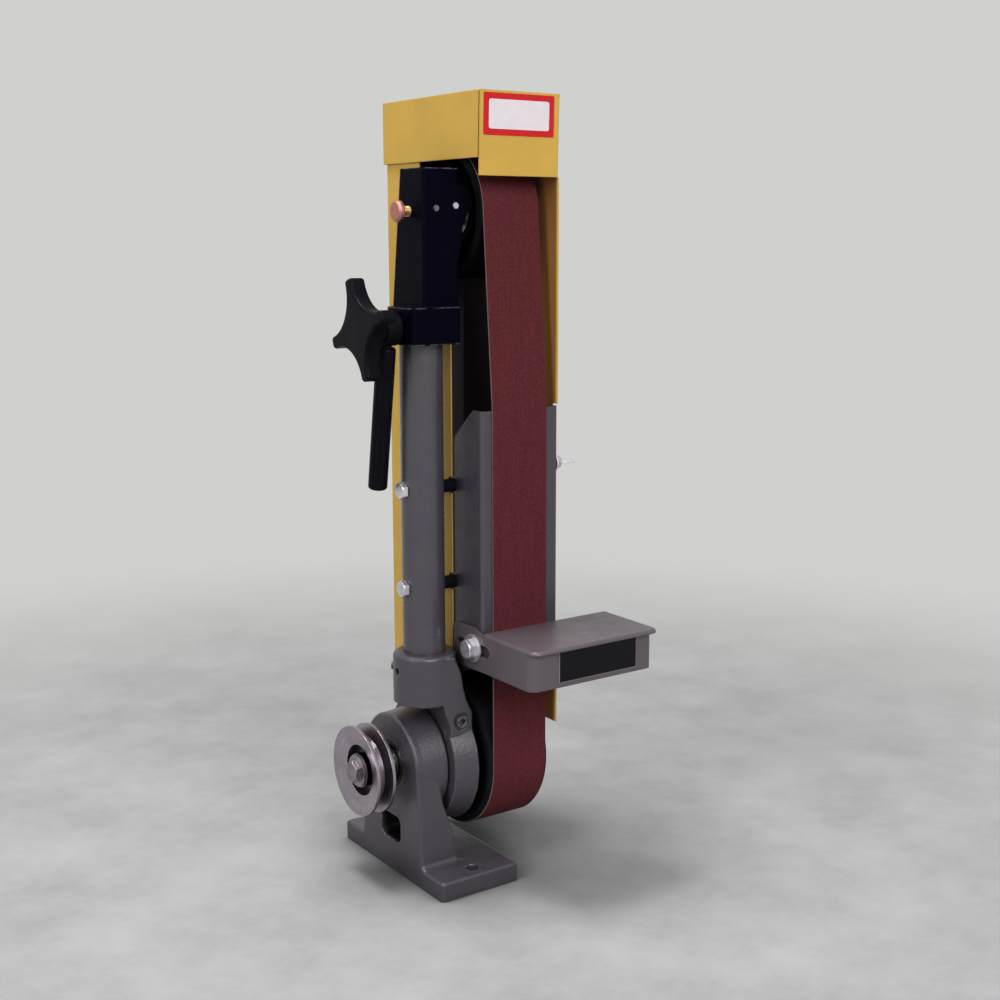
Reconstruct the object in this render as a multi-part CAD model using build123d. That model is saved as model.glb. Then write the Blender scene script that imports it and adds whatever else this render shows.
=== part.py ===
from build123d import *
import math
import os

# Stationary belt sander. Millimetres, +X toward the belt, front is -Y, +Z up.
# The origin lies under the middle of the foot, on the bench.

# Fits between pieces
RUN = 0.05
GAP = 0.3
SLACK = 1.5

# Base casting
FOOT_W = 72.0
FOOT_L = 154.0
FOOT_T = 15.5
FOOT_HOLE_R = 5.5
FOOT_HOLE_Y = 64.5
SHAFT_Z = 91.0
UPRIGHT_T = 29.0
UPRIGHT_FLARE = 4.4
FLARE_LOW_Z = 38.0
FLARE_TOP_Z = 75.0
CROWN_R = 41.0
BOSS_DRAFT = 2.0
BOSS_PROUD = 6.5
TOE_HALF = 47.0
SPIGOT_R = 38.0
SPIGOT_L = 22.0
WINDOW_HALF = 15.0
WINDOW_Z0 = 26.0
WINDOW_Z1 = 48.0
FOOT_CORNER = 3.0
TOE_FILLET = 5.0
CAST_ROUND = 2.5

# Main shaft, its two ball bearings and the pulley
SHAFT_R = 8.5
BEARING_R = 20.0
BEARING_W = 12.0
BALL_R = 3.4
PULLEY_R = 36.0
PULLEY_W = 16.3
PULLEY_HUB_R = 15.5
PULLEY_GAP = 5.0
PULLEY_HUB_L = 10.7
GROOVE_DEPTH = 9.6
END_SCREW_AF = 16.0

# Swinging arm: split ring, collar and column tube
RING_R = 54.8
RING_DRAFT = 3.8
RING_W = 21.0
RING_GAP = 1.0
TUBE_R = 16.7
TUBE_BORE_R = 13.3
TUBE_X = -14.5
TUBE_Y = -20.0
COLLAR_R = 25.0
COLLAR_Z0 = 146.0
COLLAR_H = 41.0
TUBE_TOP_Z = 445.5
CLAMP_SCREW_Z = 130.8
SPLIT_Y = -37.0

# Platen bracket on the tube
SPACER_L = 11.6
SPACER_R = 5.2
BOLT_R = 4.0
BOLT_AF = 12.0
BOLT_LOW_Z = 239.0
BOLT_HIGH_Z = 316.5
BRACKET_W = 72.7
BRACKET_T = 2.0
BRACKET_BEND = 3.0
BRACKET_Z0 = 176.0
BRACKET_Z1 = 378.0
BRACKET_BACK_Y = -8.0

# Wheels and belt
WHEEL_R = 60.3
WHEEL_W = 55.0
WHEEL_INSET = 7.4
IDLER_R = 50.8
IDLER_Y = 2.0
IDLER_Z = 527.0
BELT_W = 50.8
BELT_T = 1.2

# Sheet guard
SHEET_T = 1.2
GUARD_BACK_Y = 73.5
GUARD_Z0 = 120.0
HEADROOM = 36.2
GUARD_EDGE_Y = -20.0
AXLE_NOTCH = 20.3
CAP_FRONT_Y = -65.0
CAP_SKIRT = 48.0
CAP_FLAP = 61.0
CAP_LEAN = 2.0
CAP_SEAM = 1.4
WING_Y = -52.0
WING_Z = 332.0

# Upper arm and belt tension
HEAD_COLLAR_Z0 = 428.8
HEAD_COLLAR_Z1 = 456.6
HEAD_COLLAR_HALF = 24.0
HEAD_COLLAR_REACH = 21.5
HEAD_RISE = 32.0
HEAD_X0 = -21.4
HEAD_X1 = 10.0
HEAD_Y0 = -37.0
EAR_W = 11.0
TRAVEL = 8.0
GUIDE_L = 49.0

# Idler axle, tracking and clamp controls
AXLE_R = 7.5
IDLER_BEARING_R = 17.5
IDLER_BEARING_W = 11.0
IDLER_BALL_R = 2.8
PIVOT_DROP = 27.0
TRACK_Y = -16.0
TRACK_RISE = 0.5
CLAMP_Z = 441.0
STAR_R = 39.0
STAR_T = 13.0
STAR_TIP_HALF = 4.8
STAR_VALLEY_R = 31.0
STAR_TURN = -18.0
STAR_ROUND = 2.4
LEVER_L = 126.0
LEVER_LEAN = 8.7

# Work table
TABLE_TOP_Z = 206.0
TABLE_W = 120.0
TABLE_FRONT_Y = -133.0
TABLE_REAR_Y = -66.0
TABLE_T = 3.0
SKIRT_H = 31.5
TABLE_PLATE_T = 3.0
TABLE_CORNER = 8.0
TABLE_BOLT_Y = -51.8
TABLE_BOLT_DROP = 14.5
TABLE_BOLT_R = 4.0
LUG_REACH = 27.3
PLATE_INSET = 25.5
PLATE_W = 75.0
PLATE_H = 24.4

# Positions that follow from the sizes above
UP_X0 = -FOOT_W / 2
UP_X1 = UP_X0 + UPRIGHT_T
RING_X0 = UP_X1 + RING_GAP
RING_X1 = RING_X0 + RING_W
SPIGOT_X1 = UP_X1 + SPIGOT_L
PULLEY_X1 = UP_X0 - PULLEY_GAP - PULLEY_HUB_L
PULLEY_X0 = PULLEY_X1 - PULLEY_W
BRK_X0 = TUBE_X + TUBE_R + SPACER_L
BRK_X1 = BRK_X0 + BRACKET_W
WHEEL_X0 = BRK_X0 + WHEEL_INSET
WHEEL_X1 = WHEEL_X0 + WHEEL_W
WHEEL_MID = (WHEEL_X0 + WHEEL_X1) / 2
BELT_X0 = WHEEL_MID - BELT_W / 2
PLATEN_Y = -WHEEL_R
GUARD_X0 = BRK_X0 - 0.2 - SHEET_T
GUARD_X1 = BRK_X1 - BRACKET_T - 0.2
CAP_X0 = GUARD_X0 - 0.2 - SHEET_T
CAP_X1 = GUARD_X1 - 0.2 - SHEET_T
CAP_BACK_Y = GUARD_BACK_Y + 0.2 + SHEET_T
HEAD_FACE_X = TUBE_X - HEAD_COLLAR_REACH
HEAD_TOP_Z = IDLER_Z + HEAD_RISE
PIVOT_Z = IDLER_Z - PIVOT_DROP
TRACK_Z = IDLER_Z + TRACK_RISE
GUARD_TOP_Z = IDLER_Z + IDLER_R + HEADROOM
TABLE_BOLT_Z = TABLE_TOP_Z - TABLE_BOLT_DROP
TABLE_X0 = BRK_X0 - 0.1 - TABLE_PLATE_T
COLLAR_Z1 = COLLAR_Z0 + COLLAR_H
TUBE_Z0 = COLLAR_Z0 + 3.0


def box(x0, x1, y0, y1, z0, z1):
    """Box given by its limits."""
    centre = ((x0 + x1) / 2, (y0 + y1) / 2, (z0 + z1) / 2)
    return Pos(*centre) * Box(x1 - x0, y1 - y0, z1 - z0)


def rod_x(radius, x0, x1, y, z):
    """Round bar along X."""
    return Pos((x0 + x1) / 2, y, z) * Rot(0, 90, 0) * Cylinder(radius, x1 - x0)


def rod_y(radius, y0, y1, x, z):
    """Round bar along Y."""
    return Pos(x, (y0 + y1) / 2, z) * Rot(90, 0, 0) * Cylinder(radius, y1 - y0)


def rod_z(radius, z0, z1, x, y):
    """Round bar along Z."""
    return Pos(x, y, (z0 + z1) / 2) * Cylinder(radius, z1 - z0)


def hex_x(flats, x0, x1, y, z):
    """Hexagon bar along X."""
    bar = extrude(RegularPolygon(flats / math.sqrt(3), 6), amount=x1 - x0)
    return Pos(x0, y, z) * Rot(0, 90, 0) * bar


def prism_x(points, x0, x1):
    """Outline of (y, z) points carried from x0 to x1."""
    face = make_face(Polyline(*[(x0, y, z) for y, z in points], close=True))
    return extrude(face, amount=x1 - x0, dir=(1, 0, 0))


def prism_y(points, y0, y1):
    """Outline of (x, z) points carried from y0 to y1."""
    face = make_face(Polyline(*[(x, y0, z) for x, z in points], close=True))
    return extrude(face, amount=y1 - y0, dir=(0, 1, 0))


def turned(points, y, z):
    """Outline of (x, radius) points turned about an axis along X."""
    face = make_face(Polyline(*[(x, 0, r) for x, r in points], close=True))
    return Pos(0, y, z) * revolve(face, Axis.X)


def ring_x(outer, inner, x0, x1, y, z):
    """Plain ring along X."""
    return turned([(x0, inner), (x1, inner), (x1, outer), (x0, outer)], y, z)


def slot_x(x0, x1, y0, y1, z, half):
    """Round-ended slot along Y, cut through in X."""
    bar = box(x0, x1, y0 + half, y1 - half, z - half, z + half)
    return bar + rod_x(half, x0, x1, y0 + half, z) + rod_x(half, x0, x1, y1 - half, z)


def bearing_rings(x0, width, bore, outer, ball, y, z):
    """Inner ring and outer ring of one ball bearing, with their ball grooves."""
    mid = x0 + width / 2
    pitch = (bore + outer) / 2
    groove = Pos(mid, y, z) * Rot(0, 90, 0) * Torus(pitch, ball + RUN)
    inner = ring_x(pitch - 0.55 * ball, bore, x0, x0 + width, y, z) - groove
    sleeve = ring_x(outer, pitch + 0.55 * ball, x0, x0 + width, y, z) - groove
    return inner, sleeve


def bearing_balls(x0, width, bore, outer, ball, y, z):
    """Eight balls of one bearing."""
    mid = x0 + width / 2
    pitch = (bore + outer) / 2
    ring = []
    for k in range(8):
        turn = math.radians(45 * k)
        ring.append(Pos(mid, y + pitch * math.cos(turn), z + pitch * math.sin(turn)) * Sphere(ball))
    return ring


def level_edges(body, z):
    """Edges of a body that lie flat at one height."""
    found = []
    for edge in body.edges():
        span = edge.bounding_box()
        if abs(span.min.Z - z) < 0.02 and abs(span.max.Z - z) < 0.02:
            found.append(edge)
    return found


def upright_edges(body, x0, x1, z0):
    """Edges of the upright's outline between two X limits, above a height."""
    found = []
    for edge in body.edges():
        span = edge.bounding_box()
        if span.min.X > x0 and span.max.X < x1 and span.max.Z > z0:
            found.append(edge)
    return found


def base_casting():
    """Foot, flared upright with a round crown and boss, and the spigot that carries the arm."""
    foot = box(UP_X0, -UP_X0, -FOOT_L / 2, FOOT_L / 2, 0, FOOT_T)
    foot = fillet(foot.edges().filter_by(Axis.Z), FOOT_CORNER)
    side = prism_x(
        [(-TOE_HALF, FOOT_T - 1), (TOE_HALF, FOOT_T - 1), (CROWN_R, SHAFT_Z), (-CROWN_R, SHAFT_Z)],
        UP_X0, UP_X0 + 60)
    side = side + rod_x(CROWN_R, UP_X0, UP_X0 + 60, 0, SHAFT_Z)
    toe_x = UP_X1 + UPRIGHT_FLARE
    back_x = UP_X1 - BOSS_PROUD
    front = prism_y(
        [(UP_X0, FOOT_T - 1), (toe_x, FOOT_T - 1), (toe_x - 1.2, FLARE_LOW_Z),
         (back_x + 1.5, FLARE_TOP_Z - 11), (back_x, FLARE_TOP_Z),
         (back_x, SHAFT_Z + CROWN_R + 5), (UP_X0, SHAFT_Z + CROWN_R + 5)],
        -FOOT_L / 2, FOOT_L / 2)
    body = foot + (side & front)
    toe = []
    for edge in level_edges(body, FOOT_T):
        span = edge.bounding_box()
        if span.max.X < toe_x + 1 and span.max.X > UP_X0 + 1 and abs(edge.center().Y) < TOE_HALF + 1:
            toe.append(edge)
    body = fillet(toe, TOE_FILLET)
    right = []
    for edge in upright_edges(body, back_x - 0.1, toe_x + 1, FOOT_T + TOE_FILLET - 1):
        if edge.bounding_box().min.Z > FOOT_T + TOE_FILLET - 1.5 and abs(edge.center().Y) > 20:
            right.append(edge)
        elif edge.geom_type == GeomType.CIRCLE:
            right.append(edge)
    body = fillet(right, CAST_ROUND)
    body = fillet(upright_edges(body, UP_X0 - 0.01, UP_X0 + 0.01, FOOT_T + 0.1), CAST_ROUND)
    window = box(UP_X0 - 5, UP_X1 + 20, -WINDOW_HALF, WINDOW_HALF, WINDOW_Z0, WINDOW_Z1)
    window = fillet(window.edges().filter_by(Axis.X), 6.0)
    body = body - window - rod_x(RING_R + SLACK, UP_X1 + 0.5, UP_X1 + 40, 0, SHAFT_Z)
    boss = turned(
        [(UP_X0 + 6, 0), (UP_X0 + 6, CROWN_R - 0.1), (UP_X1 - 1.2, CROWN_R + BOSS_DRAFT),
         (UP_X1, CROWN_R + BOSS_DRAFT - 1.2), (UP_X1, 0)], 0, SHAFT_Z)
    body = body + boss + rod_x(SPIGOT_R, UP_X1 - 1, SPIGOT_X1, 0, SHAFT_Z)
    seat_l = rod_x(BEARING_R, UP_X0 - 1, UP_X0 + BEARING_W, 0, SHAFT_Z)
    seat_r = rod_x(BEARING_R, SPIGOT_X1 - BEARING_W, SPIGOT_X1 + 1, 0, SHAFT_Z)
    bore = rod_x(BEARING_R - 3, UP_X0, SPIGOT_X1, 0, SHAFT_Z)
    body = body - seat_l - seat_r - bore
    for y in (-FOOT_HOLE_Y, FOOT_HOLE_Y):
        body = body - rod_z(FOOT_HOLE_R, -1, FOOT_T + 1, 0, y)
    return body


def shaft_bearings():
    """Inner rings, outer rings and balls of both shaft bearings."""
    inner = []
    outer = []
    balls = []
    for x0 in (UP_X0, SPIGOT_X1 - BEARING_W):
        one, two = bearing_rings(x0, BEARING_W, SHAFT_R, BEARING_R, BALL_R, 0, SHAFT_Z)
        inner.append(one)
        outer.append(two)
        balls = balls + bearing_balls(x0, BEARING_W, SHAFT_R, BEARING_R, BALL_R, 0, SHAFT_Z)
    return inner, outer, balls


HUB_X0 = PULLEY_X0 + 3.0
NUT_FACE_X = WHEEL_X0 + 34.0


def drive_shaft():
    """Turned shaft: pulley seat, shoulder between the bearings, wheel seat, threaded end."""
    shoulder = SHAFT_R + 2.0
    x0 = HUB_X0 + 0.3
    a = UP_X0 + BEARING_W
    b = SPIGOT_X1 - BEARING_W
    shaft = turned(
        [(x0, 0), (x0, SHAFT_R), (a, SHAFT_R), (a, shoulder), (b, shoulder), (b, SHAFT_R),
         (NUT_FACE_X - 1, SHAFT_R), (NUT_FACE_X - 1, 6.0), (NUT_FACE_X + 15, 6.0), (NUT_FACE_X + 15, 0)],
        0, SHAFT_Z)
    return shaft - rod_x(4.0, x0 - 1, x0 + 18, 0, SHAFT_Z)


def v_pulley():
    """Single-groove pulley with a dished outer face, a deep recess and a long hub."""
    mid = (PULLEY_X0 + PULLEY_X1) / 2
    root = PULLEY_R - GROOVE_DEPTH
    hub = turned(
        [(UP_X0 - PULLEY_GAP, SHAFT_R), (UP_X0 - PULLEY_GAP, PULLEY_HUB_R), (PULLEY_X1, PULLEY_HUB_R),
         (PULLEY_X1, PULLEY_R), (mid + 5.7, PULLEY_R), (mid + 3.4, root), (mid - 3.4, root),
         (mid - 5.7, PULLEY_R), (PULLEY_X0, PULLEY_R), (PULLEY_X0 + 4, 20.4), (PULLEY_X1 - 4.8, 20.4),
         (PULLEY_X1 - 4.8, 13.5), (HUB_X0, 13.5), (HUB_X0, SHAFT_R)],
        0, SHAFT_Z)
    return hub - rod_y(2.5, -PULLEY_HUB_R - 2, 0, UP_X0 - PULLEY_GAP - 5, SHAFT_Z)


def pulley_set_screw():
    """Small screw in the pulley hub, its end just proud of the hub."""
    return rod_y(2.5, -PULLEY_HUB_R - 1.2, -SHAFT_R - 0.2, UP_X0 - PULLEY_GAP - 5, SHAFT_Z)


def pulley_end_washer():
    return ring_x(12.8, 4.2, HUB_X0 - 2, HUB_X0, 0, SHAFT_Z)


def pulley_end_screw():
    """Hexagon screw in the end of the shaft."""
    head = hex_x(END_SCREW_AF, HUB_X0 - 6.8, HUB_X0 - 2, 0, SHAFT_Z)
    cone = turned(
        [(HUB_X0 - 6.8, 0), (HUB_X0 - 6.8, END_SCREW_AF * 0.49), (HUB_X0 - 5.6, END_SCREW_AF * 0.6),
         (HUB_X0 - 2, END_SCREW_AF * 0.6), (HUB_X0 - 2, 0)], 0, SHAFT_Z)
    return (head & cone) + rod_x(4.0, HUB_X0 - 3, HUB_X0 + 14, 0, SHAFT_Z)


def drive_wheel():
    """Rim, web and hub of the lower wheel, open on the right around the nut."""
    rim = WHEEL_R - 4.3
    nose = SPIGOT_X1
    return turned(
        [(nose, SHAFT_R), (NUT_FACE_X, SHAFT_R), (NUT_FACE_X, 20), (NUT_FACE_X - 8, 20),
         (NUT_FACE_X - 8, rim - 6), (WHEEL_X1, rim - 6), (WHEEL_X1, rim), (WHEEL_X0, rim),
         (WHEEL_X0, rim - 6), (NUT_FACE_X - 16, rim - 6), (NUT_FACE_X - 16, 20), (WHEEL_X0 + 2, 20),
         (WHEEL_X0 + 2, 11), (nose, 11)],
        0, SHAFT_Z)


def drive_wheel_tyre():
    return ring_x(WHEEL_R, WHEEL_R - 4.3, WHEEL_X0, WHEEL_X1, 0, SHAFT_Z)


def wheel_washer():
    return ring_x(14.0, 6.0, NUT_FACE_X, NUT_FACE_X + 2.5, 0, SHAFT_Z)


def wheel_nut():
    nut = hex_x(18.0, NUT_FACE_X + 2.5, NUT_FACE_X + 12.5, 0, SHAFT_Z)
    return nut - rod_x(6.0, NUT_FACE_X, NUT_FACE_X + 20, 0, SHAFT_Z)


CLAMP_SCREW_X = RING_X0 + 9.3
WEB_FACE_Y = TUBE_Y - COLLAR_R + 0.1


def arm_web():
    """Flat web that runs from the front of the collar down to the ring, wider below."""
    web = prism_y(
        [(TUBE_X, COLLAR_Z1 - 3), (RING_X0 + 4, COLLAR_Z1 - 3), (RING_X0 + 6.8, COLLAR_Z1 - 8.5),
         (RING_X0 + 10.5, COLLAR_Z1 - 17.3), (RING_X0 + 12.3, COLLAR_Z0 + 12),
         (RING_X0 + 15.1, COLLAR_Z0 + 1.4), (RING_X1 - 0.4, CLAMP_SCREW_Z + 5.6),
         (RING_X1 - 0.4, CLAMP_SCREW_Z - 12), (RING_X0, CLAMP_SCREW_Z - 12),
         (RING_X0 - 0.4, CLAMP_SCREW_Z - 3.8), (RING_X0 - 4.3, CLAMP_SCREW_Z + 7.2),
         (TUBE_X + 1, COLLAR_Z0 + 3.3), (TUBE_X, COLLAR_Z0 + 8)],
        WEB_FACE_Y, SPLIT_Y + 9)
    return fillet(web.faces().sort_by(Axis.Y)[0].edges(), 1.5)


def arm_casting():
    """Split ring on the spigot, web, and the collar that holds the tube."""
    ring = turned(
        [(RING_X0, SPIGOT_R + RUN), (RING_X1, SPIGOT_R + RUN), (RING_X1, RING_R - 1.5),
         (RING_X1 - 1.5, RING_R), (RING_X0 + 0.6, RING_R - RING_DRAFT),
         (RING_X0, RING_R - RING_DRAFT - 0.6)], 0, SHAFT_Z)
    collar = rod_z(COLLAR_R, COLLAR_Z0, COLLAR_Z1, TUBE_X, TUBE_Y)
    collar = fillet(collar.edges().sort_by(Axis.Z)[-1], 4.0)
    collar = chamfer(collar.edges().sort_by(Axis.Z)[0], 1.0)
    neck = box(RING_X0, RING_X1 - 6, SPLIT_Y + 3, TUBE_Y + 23, SHAFT_Z + 30, COLLAR_Z0 + 18)
    neck = fillet(neck.edges().filter_by(Axis.X), 6.0)
    body = ring + collar + neck + arm_web()
    body = body - rod_x(SPIGOT_R + RUN, RING_X0 - 5, RING_X1 + 5, 0, SHAFT_Z)
    body = body - box(RING_X0 - 12, RING_X1 + 5, SPLIT_Y - 0.5, SPLIT_Y + 0.5, SHAFT_Z + 2, COLLAR_Z0 - 3)
    body = body - rod_z(TUBE_R, TUBE_Z0, COLLAR_Z1 + 1, TUBE_X, TUBE_Y)
    body = body - rod_y(7.2, WEB_FACE_Y - 2, WEB_FACE_Y + 1.2, CLAMP_SCREW_X, CLAMP_SCREW_Z)
    body = body - rod_y(3.5, WEB_FACE_Y - 1, SPLIT_Y + 10, CLAMP_SCREW_X, CLAMP_SCREW_Z)
    for turn in SET_TURNS:
        body = body - set_screw(turn, COLLAR_R + 2)
    return body


SET_TURNS = (178.0, 138.0)
SET_Z = COLLAR_Z1 - 14.0


def set_screw(turn, reach):
    """Radial bar through the collar wall, down to the tube."""
    bar = rod_x(3.0, TUBE_R + 0.2, reach, 0, 0)
    return Pos(TUBE_X, TUBE_Y, SET_Z) * Rot(0, 0, turn) * bar


def collar_set_screws():
    return [set_screw(SET_TURNS[0], COLLAR_R - 3), set_screw(SET_TURNS[1], COLLAR_R + 1.5)]


def arm_clamp_screw():
    """Socket-head screw that closes the split ring."""
    seat = WEB_FACE_Y + 1.2
    head = rod_y(5.0, seat - 3.6, seat, CLAMP_SCREW_X, CLAMP_SCREW_Z)
    shank = rod_y(3.5, seat - 1, SPLIT_Y + 9, CLAMP_SCREW_X, CLAMP_SCREW_Z)
    socket = Pos(CLAMP_SCREW_X, seat - 0.8, CLAMP_SCREW_Z) * Rot(90, 0, 0) * extrude(
        RegularPolygon(2.9, 6), amount=5)
    return head + shank - socket


def column_tube():
    """Heavy pipe from the collar up into the upper arm."""
    tube = rod_z(TUBE_R, TUBE_Z0, TUBE_TOP_Z, TUBE_X, TUBE_Y)
    tube = tube - rod_z(TUBE_BORE_R, TUBE_Z0 - 1, TUBE_TOP_Z + 1, TUBE_X, TUBE_Y)
    for z in (BOLT_LOW_Z, BOLT_HIGH_Z):
        tube = tube - rod_x(BOLT_R, TUBE_X - TUBE_R - 5, TUBE_X + TUBE_R + 5, TUBE_Y, z)
    return tube


SEAT_Z0 = BOLT_HIGH_Z + BOLT_R
HEAD_CEILING = TUBE_TOP_Z + TRAVEL + 0.5
GUIDE_Z0 = HEAD_CEILING - GUIDE_L


def spring_seat():
    """Plug in the tube that rests on the upper cross bolt."""
    return rod_z(TUBE_BORE_R, SEAT_Z0, SEAT_Z0 + 9, TUBE_X, TUBE_Y)


def tension_spring():
    """Hidden spring between the seat and the guide of the upper arm."""
    coil = rod_z(11.5, SEAT_Z0 + 9, GUIDE_Z0, TUBE_X, TUBE_Y)
    return coil - rod_z(8.0, SEAT_Z0 + 8, GUIDE_Z0 + 1, TUBE_X, TUBE_Y)


def platen_bracket():
    """Folded channel: flat face behind the belt and two side flanges with sloping tops."""
    outer = box(BRK_X0, BRK_X1, PLATEN_Y, BRACKET_BACK_Y, BRACKET_Z0, BRACKET_Z1)
    outer = fillet(outer.edges().filter_by(Axis.Z).group_by(Axis.Y)[0], BRACKET_BEND)
    inner = box(BRK_X0 + BRACKET_T, BRK_X1 - BRACKET_T, PLATEN_Y + BRACKET_T, BRACKET_BACK_Y + 9,
                BRACKET_Z0 - 1, BRACKET_Z1 + 1)
    inner = fillet(inner.edges().filter_by(Axis.Z).group_by(Axis.Y)[0], BRACKET_BEND - BRACKET_T)
    slope_y = PLATEN_Y + 12.1
    drop = 0.89 * (BRACKET_BACK_Y + 5 - slope_y)
    slope = prism_x(
        [(slope_y, BRACKET_Z1 + 2), (slope_y, BRACKET_Z1), (BRACKET_BACK_Y + 5, BRACKET_Z1 - drop),
         (BRACKET_BACK_Y + 5, BRACKET_Z1 + 2)], BRK_X0 - 1, BRK_X1 + 1)
    body = outer - inner - slope
    for z in (BOLT_LOW_Z, BOLT_HIGH_Z):
        body = body - rod_x(BOLT_R + 0.2, BRK_X0 - 1, BRK_X0 + BRACKET_T + 1, TUBE_Y, z)
    body = body - rod_x(TABLE_BOLT_R, BRK_X0 - 1, BRK_X0 + BRACKET_T + 1, TABLE_BOLT_Y, TABLE_BOLT_Z)
    return body - rod_x(3.2, BRK_X1 - BRACKET_T - 1, BRK_X1 + 1, WING_Y, WING_Z)


def bracket_spacers():
    """Two sleeves between the tube and the bracket."""
    sleeves = []
    for z in (BOLT_LOW_Z, BOLT_HIGH_Z):
        sleeve = ring_x(SPACER_R, BOLT_R, TUBE_X + TUBE_R - 2, BRK_X0, TUBE_Y, z)
        sleeves.append(sleeve - rod_z(TUBE_R, z - 10, z + 10, TUBE_X, TUBE_Y))
    return sleeves


def bracket_bolts():
    """Two hexagon bolts through tube, spacer and bracket."""
    x0 = TUBE_X - TUBE_R
    x1 = BRK_X0 + BRACKET_T + 8.0
    bolts = []
    for z in (BOLT_LOW_Z, BOLT_HIGH_Z):
        head = hex_x(BOLT_AF, x0 - 4.6, x0, TUBE_Y, z)
        cone = turned(
            [(x0 - 4.6, 0), (x0 - 4.6, BOLT_AF * 0.48), (x0 - 3.6, BOLT_AF * 0.6), (x0, BOLT_AF * 0.6),
             (x0, 0)],
            TUBE_Y, z)
        bolts.append((head & cone) + rod_x(BOLT_R, x0 - 1, x1, TUBE_Y, z))
    return bolts


def bracket_nuts():
    nuts = []
    x0 = BRK_X0 + BRACKET_T
    for z in (BOLT_LOW_Z, BOLT_HIGH_Z):
        nuts.append(hex_x(13.0, x0, x0 + 6.5, TUBE_Y, z) - rod_x(BOLT_R, x0 - 1, x0 + 8, TUBE_Y, z))
    return nuts


FLAP_Z0 = GUARD_TOP_Z - CAP_FLAP


def guard_body():
    """Folded sheet around the back of the belt: left wall, back and right wall."""
    top = GUARD_TOP_Z - SHEET_T
    outer = box(GUARD_X0, GUARD_X1, CAP_FRONT_Y + 2, GUARD_BACK_Y, GUARD_Z0, top)
    outer = fillet(outer.edges().filter_by(Axis.Z).group_by(Axis.Y)[-1], 2.5)
    inner = box(GUARD_X0 + SHEET_T, GUARD_X1 - SHEET_T, CAP_FRONT_Y - 5, GUARD_BACK_Y - SHEET_T,
                GUARD_Z0 - 1, top + 1)
    inner = fillet(inner.edges().filter_by(Axis.Z).group_by(Axis.Y)[-1], 2.5 - SHEET_T)
    body = outer - inner
    a = GUARD_X0 - 1
    b = GUARD_X0 + SHEET_T + 1
    body = body - box(a, b, CAP_FRONT_Y - 5, GUARD_EDGE_Y, GUARD_Z0 - 1, top + 1)
    body = body - rod_x(RING_R + SLACK, a, b, 0, SHAFT_Z)
    for z in (BOLT_LOW_Z, BOLT_HIGH_Z):
        body = body - rod_x(SPACER_R + SLACK, a, b, TUBE_Y, z)
    reach = AXLE_R + 7.0
    body = body - box(a, b, GUARD_EDGE_Y - 1, IDLER_Y + AXLE_NOTCH, IDLER_Z - TRAVEL - reach, top + 1)
    c = GUARD_X1 - SHEET_T - 1
    d = GUARD_X1 + 1
    body = body - box(c, d, CAP_FRONT_Y - 5, PLATEN_Y + BRACKET_T + SLACK, BRACKET_Z0 - 3, BRACKET_Z1 + 2)
    flap_y = CAP_FRONT_Y + CAP_LEAN + SHEET_T + 0.5
    body = body - box(c, d, CAP_FRONT_Y - 5, flap_y, FLAP_Z0 - GAP, top + 1)
    return body - rod_x(3.2, c, d, WING_Y, WING_Z)


def guard_cap():
    """Folded sheet cap, its right skirt inside the guard's wall, its front flap leaning back a little."""
    low = GUARD_TOP_Z - CAP_SKIRT
    shell = box(CAP_X0, CAP_X1, CAP_FRONT_Y, CAP_BACK_Y, low, GUARD_TOP_Z)
    shell = shell - box(CAP_X0 + SHEET_T, CAP_X1 - SHEET_T, CAP_FRONT_Y - 1, CAP_BACK_Y - SHEET_T,
                        low - 1, GUARD_TOP_Z - SHEET_T)
    shell = shell - box(CAP_X1 - SHEET_T - 1, CAP_X1 + 1, GUARD_BACK_Y - SHEET_T - 2, CAP_BACK_Y - SHEET_T,
                        low - 1, GUARD_TOP_Z - SHEET_T)
    seam = CAP_FRONT_Y + SHEET_T + CAP_SEAM
    shell = shell - prism_x(
        [(CAP_FRONT_Y - 1, GUARD_TOP_Z - SHEET_T), (seam, GUARD_TOP_Z - SHEET_T), (seam + CAP_LEAN, FLAP_Z0),
         (CAP_FRONT_Y - 1, FLAP_Z0)], CAP_X0 - 1, CAP_X1 + 1)
    flap = prism_x(
        [(CAP_FRONT_Y, GUARD_TOP_Z), (CAP_FRONT_Y + SHEET_T, GUARD_TOP_Z),
         (CAP_FRONT_Y + SHEET_T + CAP_LEAN, FLAP_Z0), (CAP_FRONT_Y + CAP_LEAN, FLAP_Z0)], CAP_X0, CAP_X1)
    return shell + flap


def guard_label():
    """Thin blank plate on the flap of the cap."""
    lean = CAP_LEAN / CAP_FLAP
    a = 1.8
    b = 32.0
    return prism_x(
        [(CAP_FRONT_Y + a * lean, GUARD_TOP_Z - a), (CAP_FRONT_Y + b * lean, GUARD_TOP_Z - b),
         (CAP_FRONT_Y + b * lean - 0.3, GUARD_TOP_Z - b), (CAP_FRONT_Y + a * lean - 0.3, GUARD_TOP_Z - a)],
        CAP_X0 + 2.9, CAP_X1 - 4.9)


def guard_stud():
    """Stud through the guard wall and the bracket flange."""
    face = GUARD_X1 - SHEET_T
    return rod_x(5.0, face - 2, face, WING_Y, WING_Z) + rod_x(3.0, face - 1, BRK_X1 + 8.5, WING_Y, WING_Z)


def wing_washer():
    return ring_x(8.0, 3.1, BRK_X1, BRK_X1 + 1.3, WING_Y, WING_Z)


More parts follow.
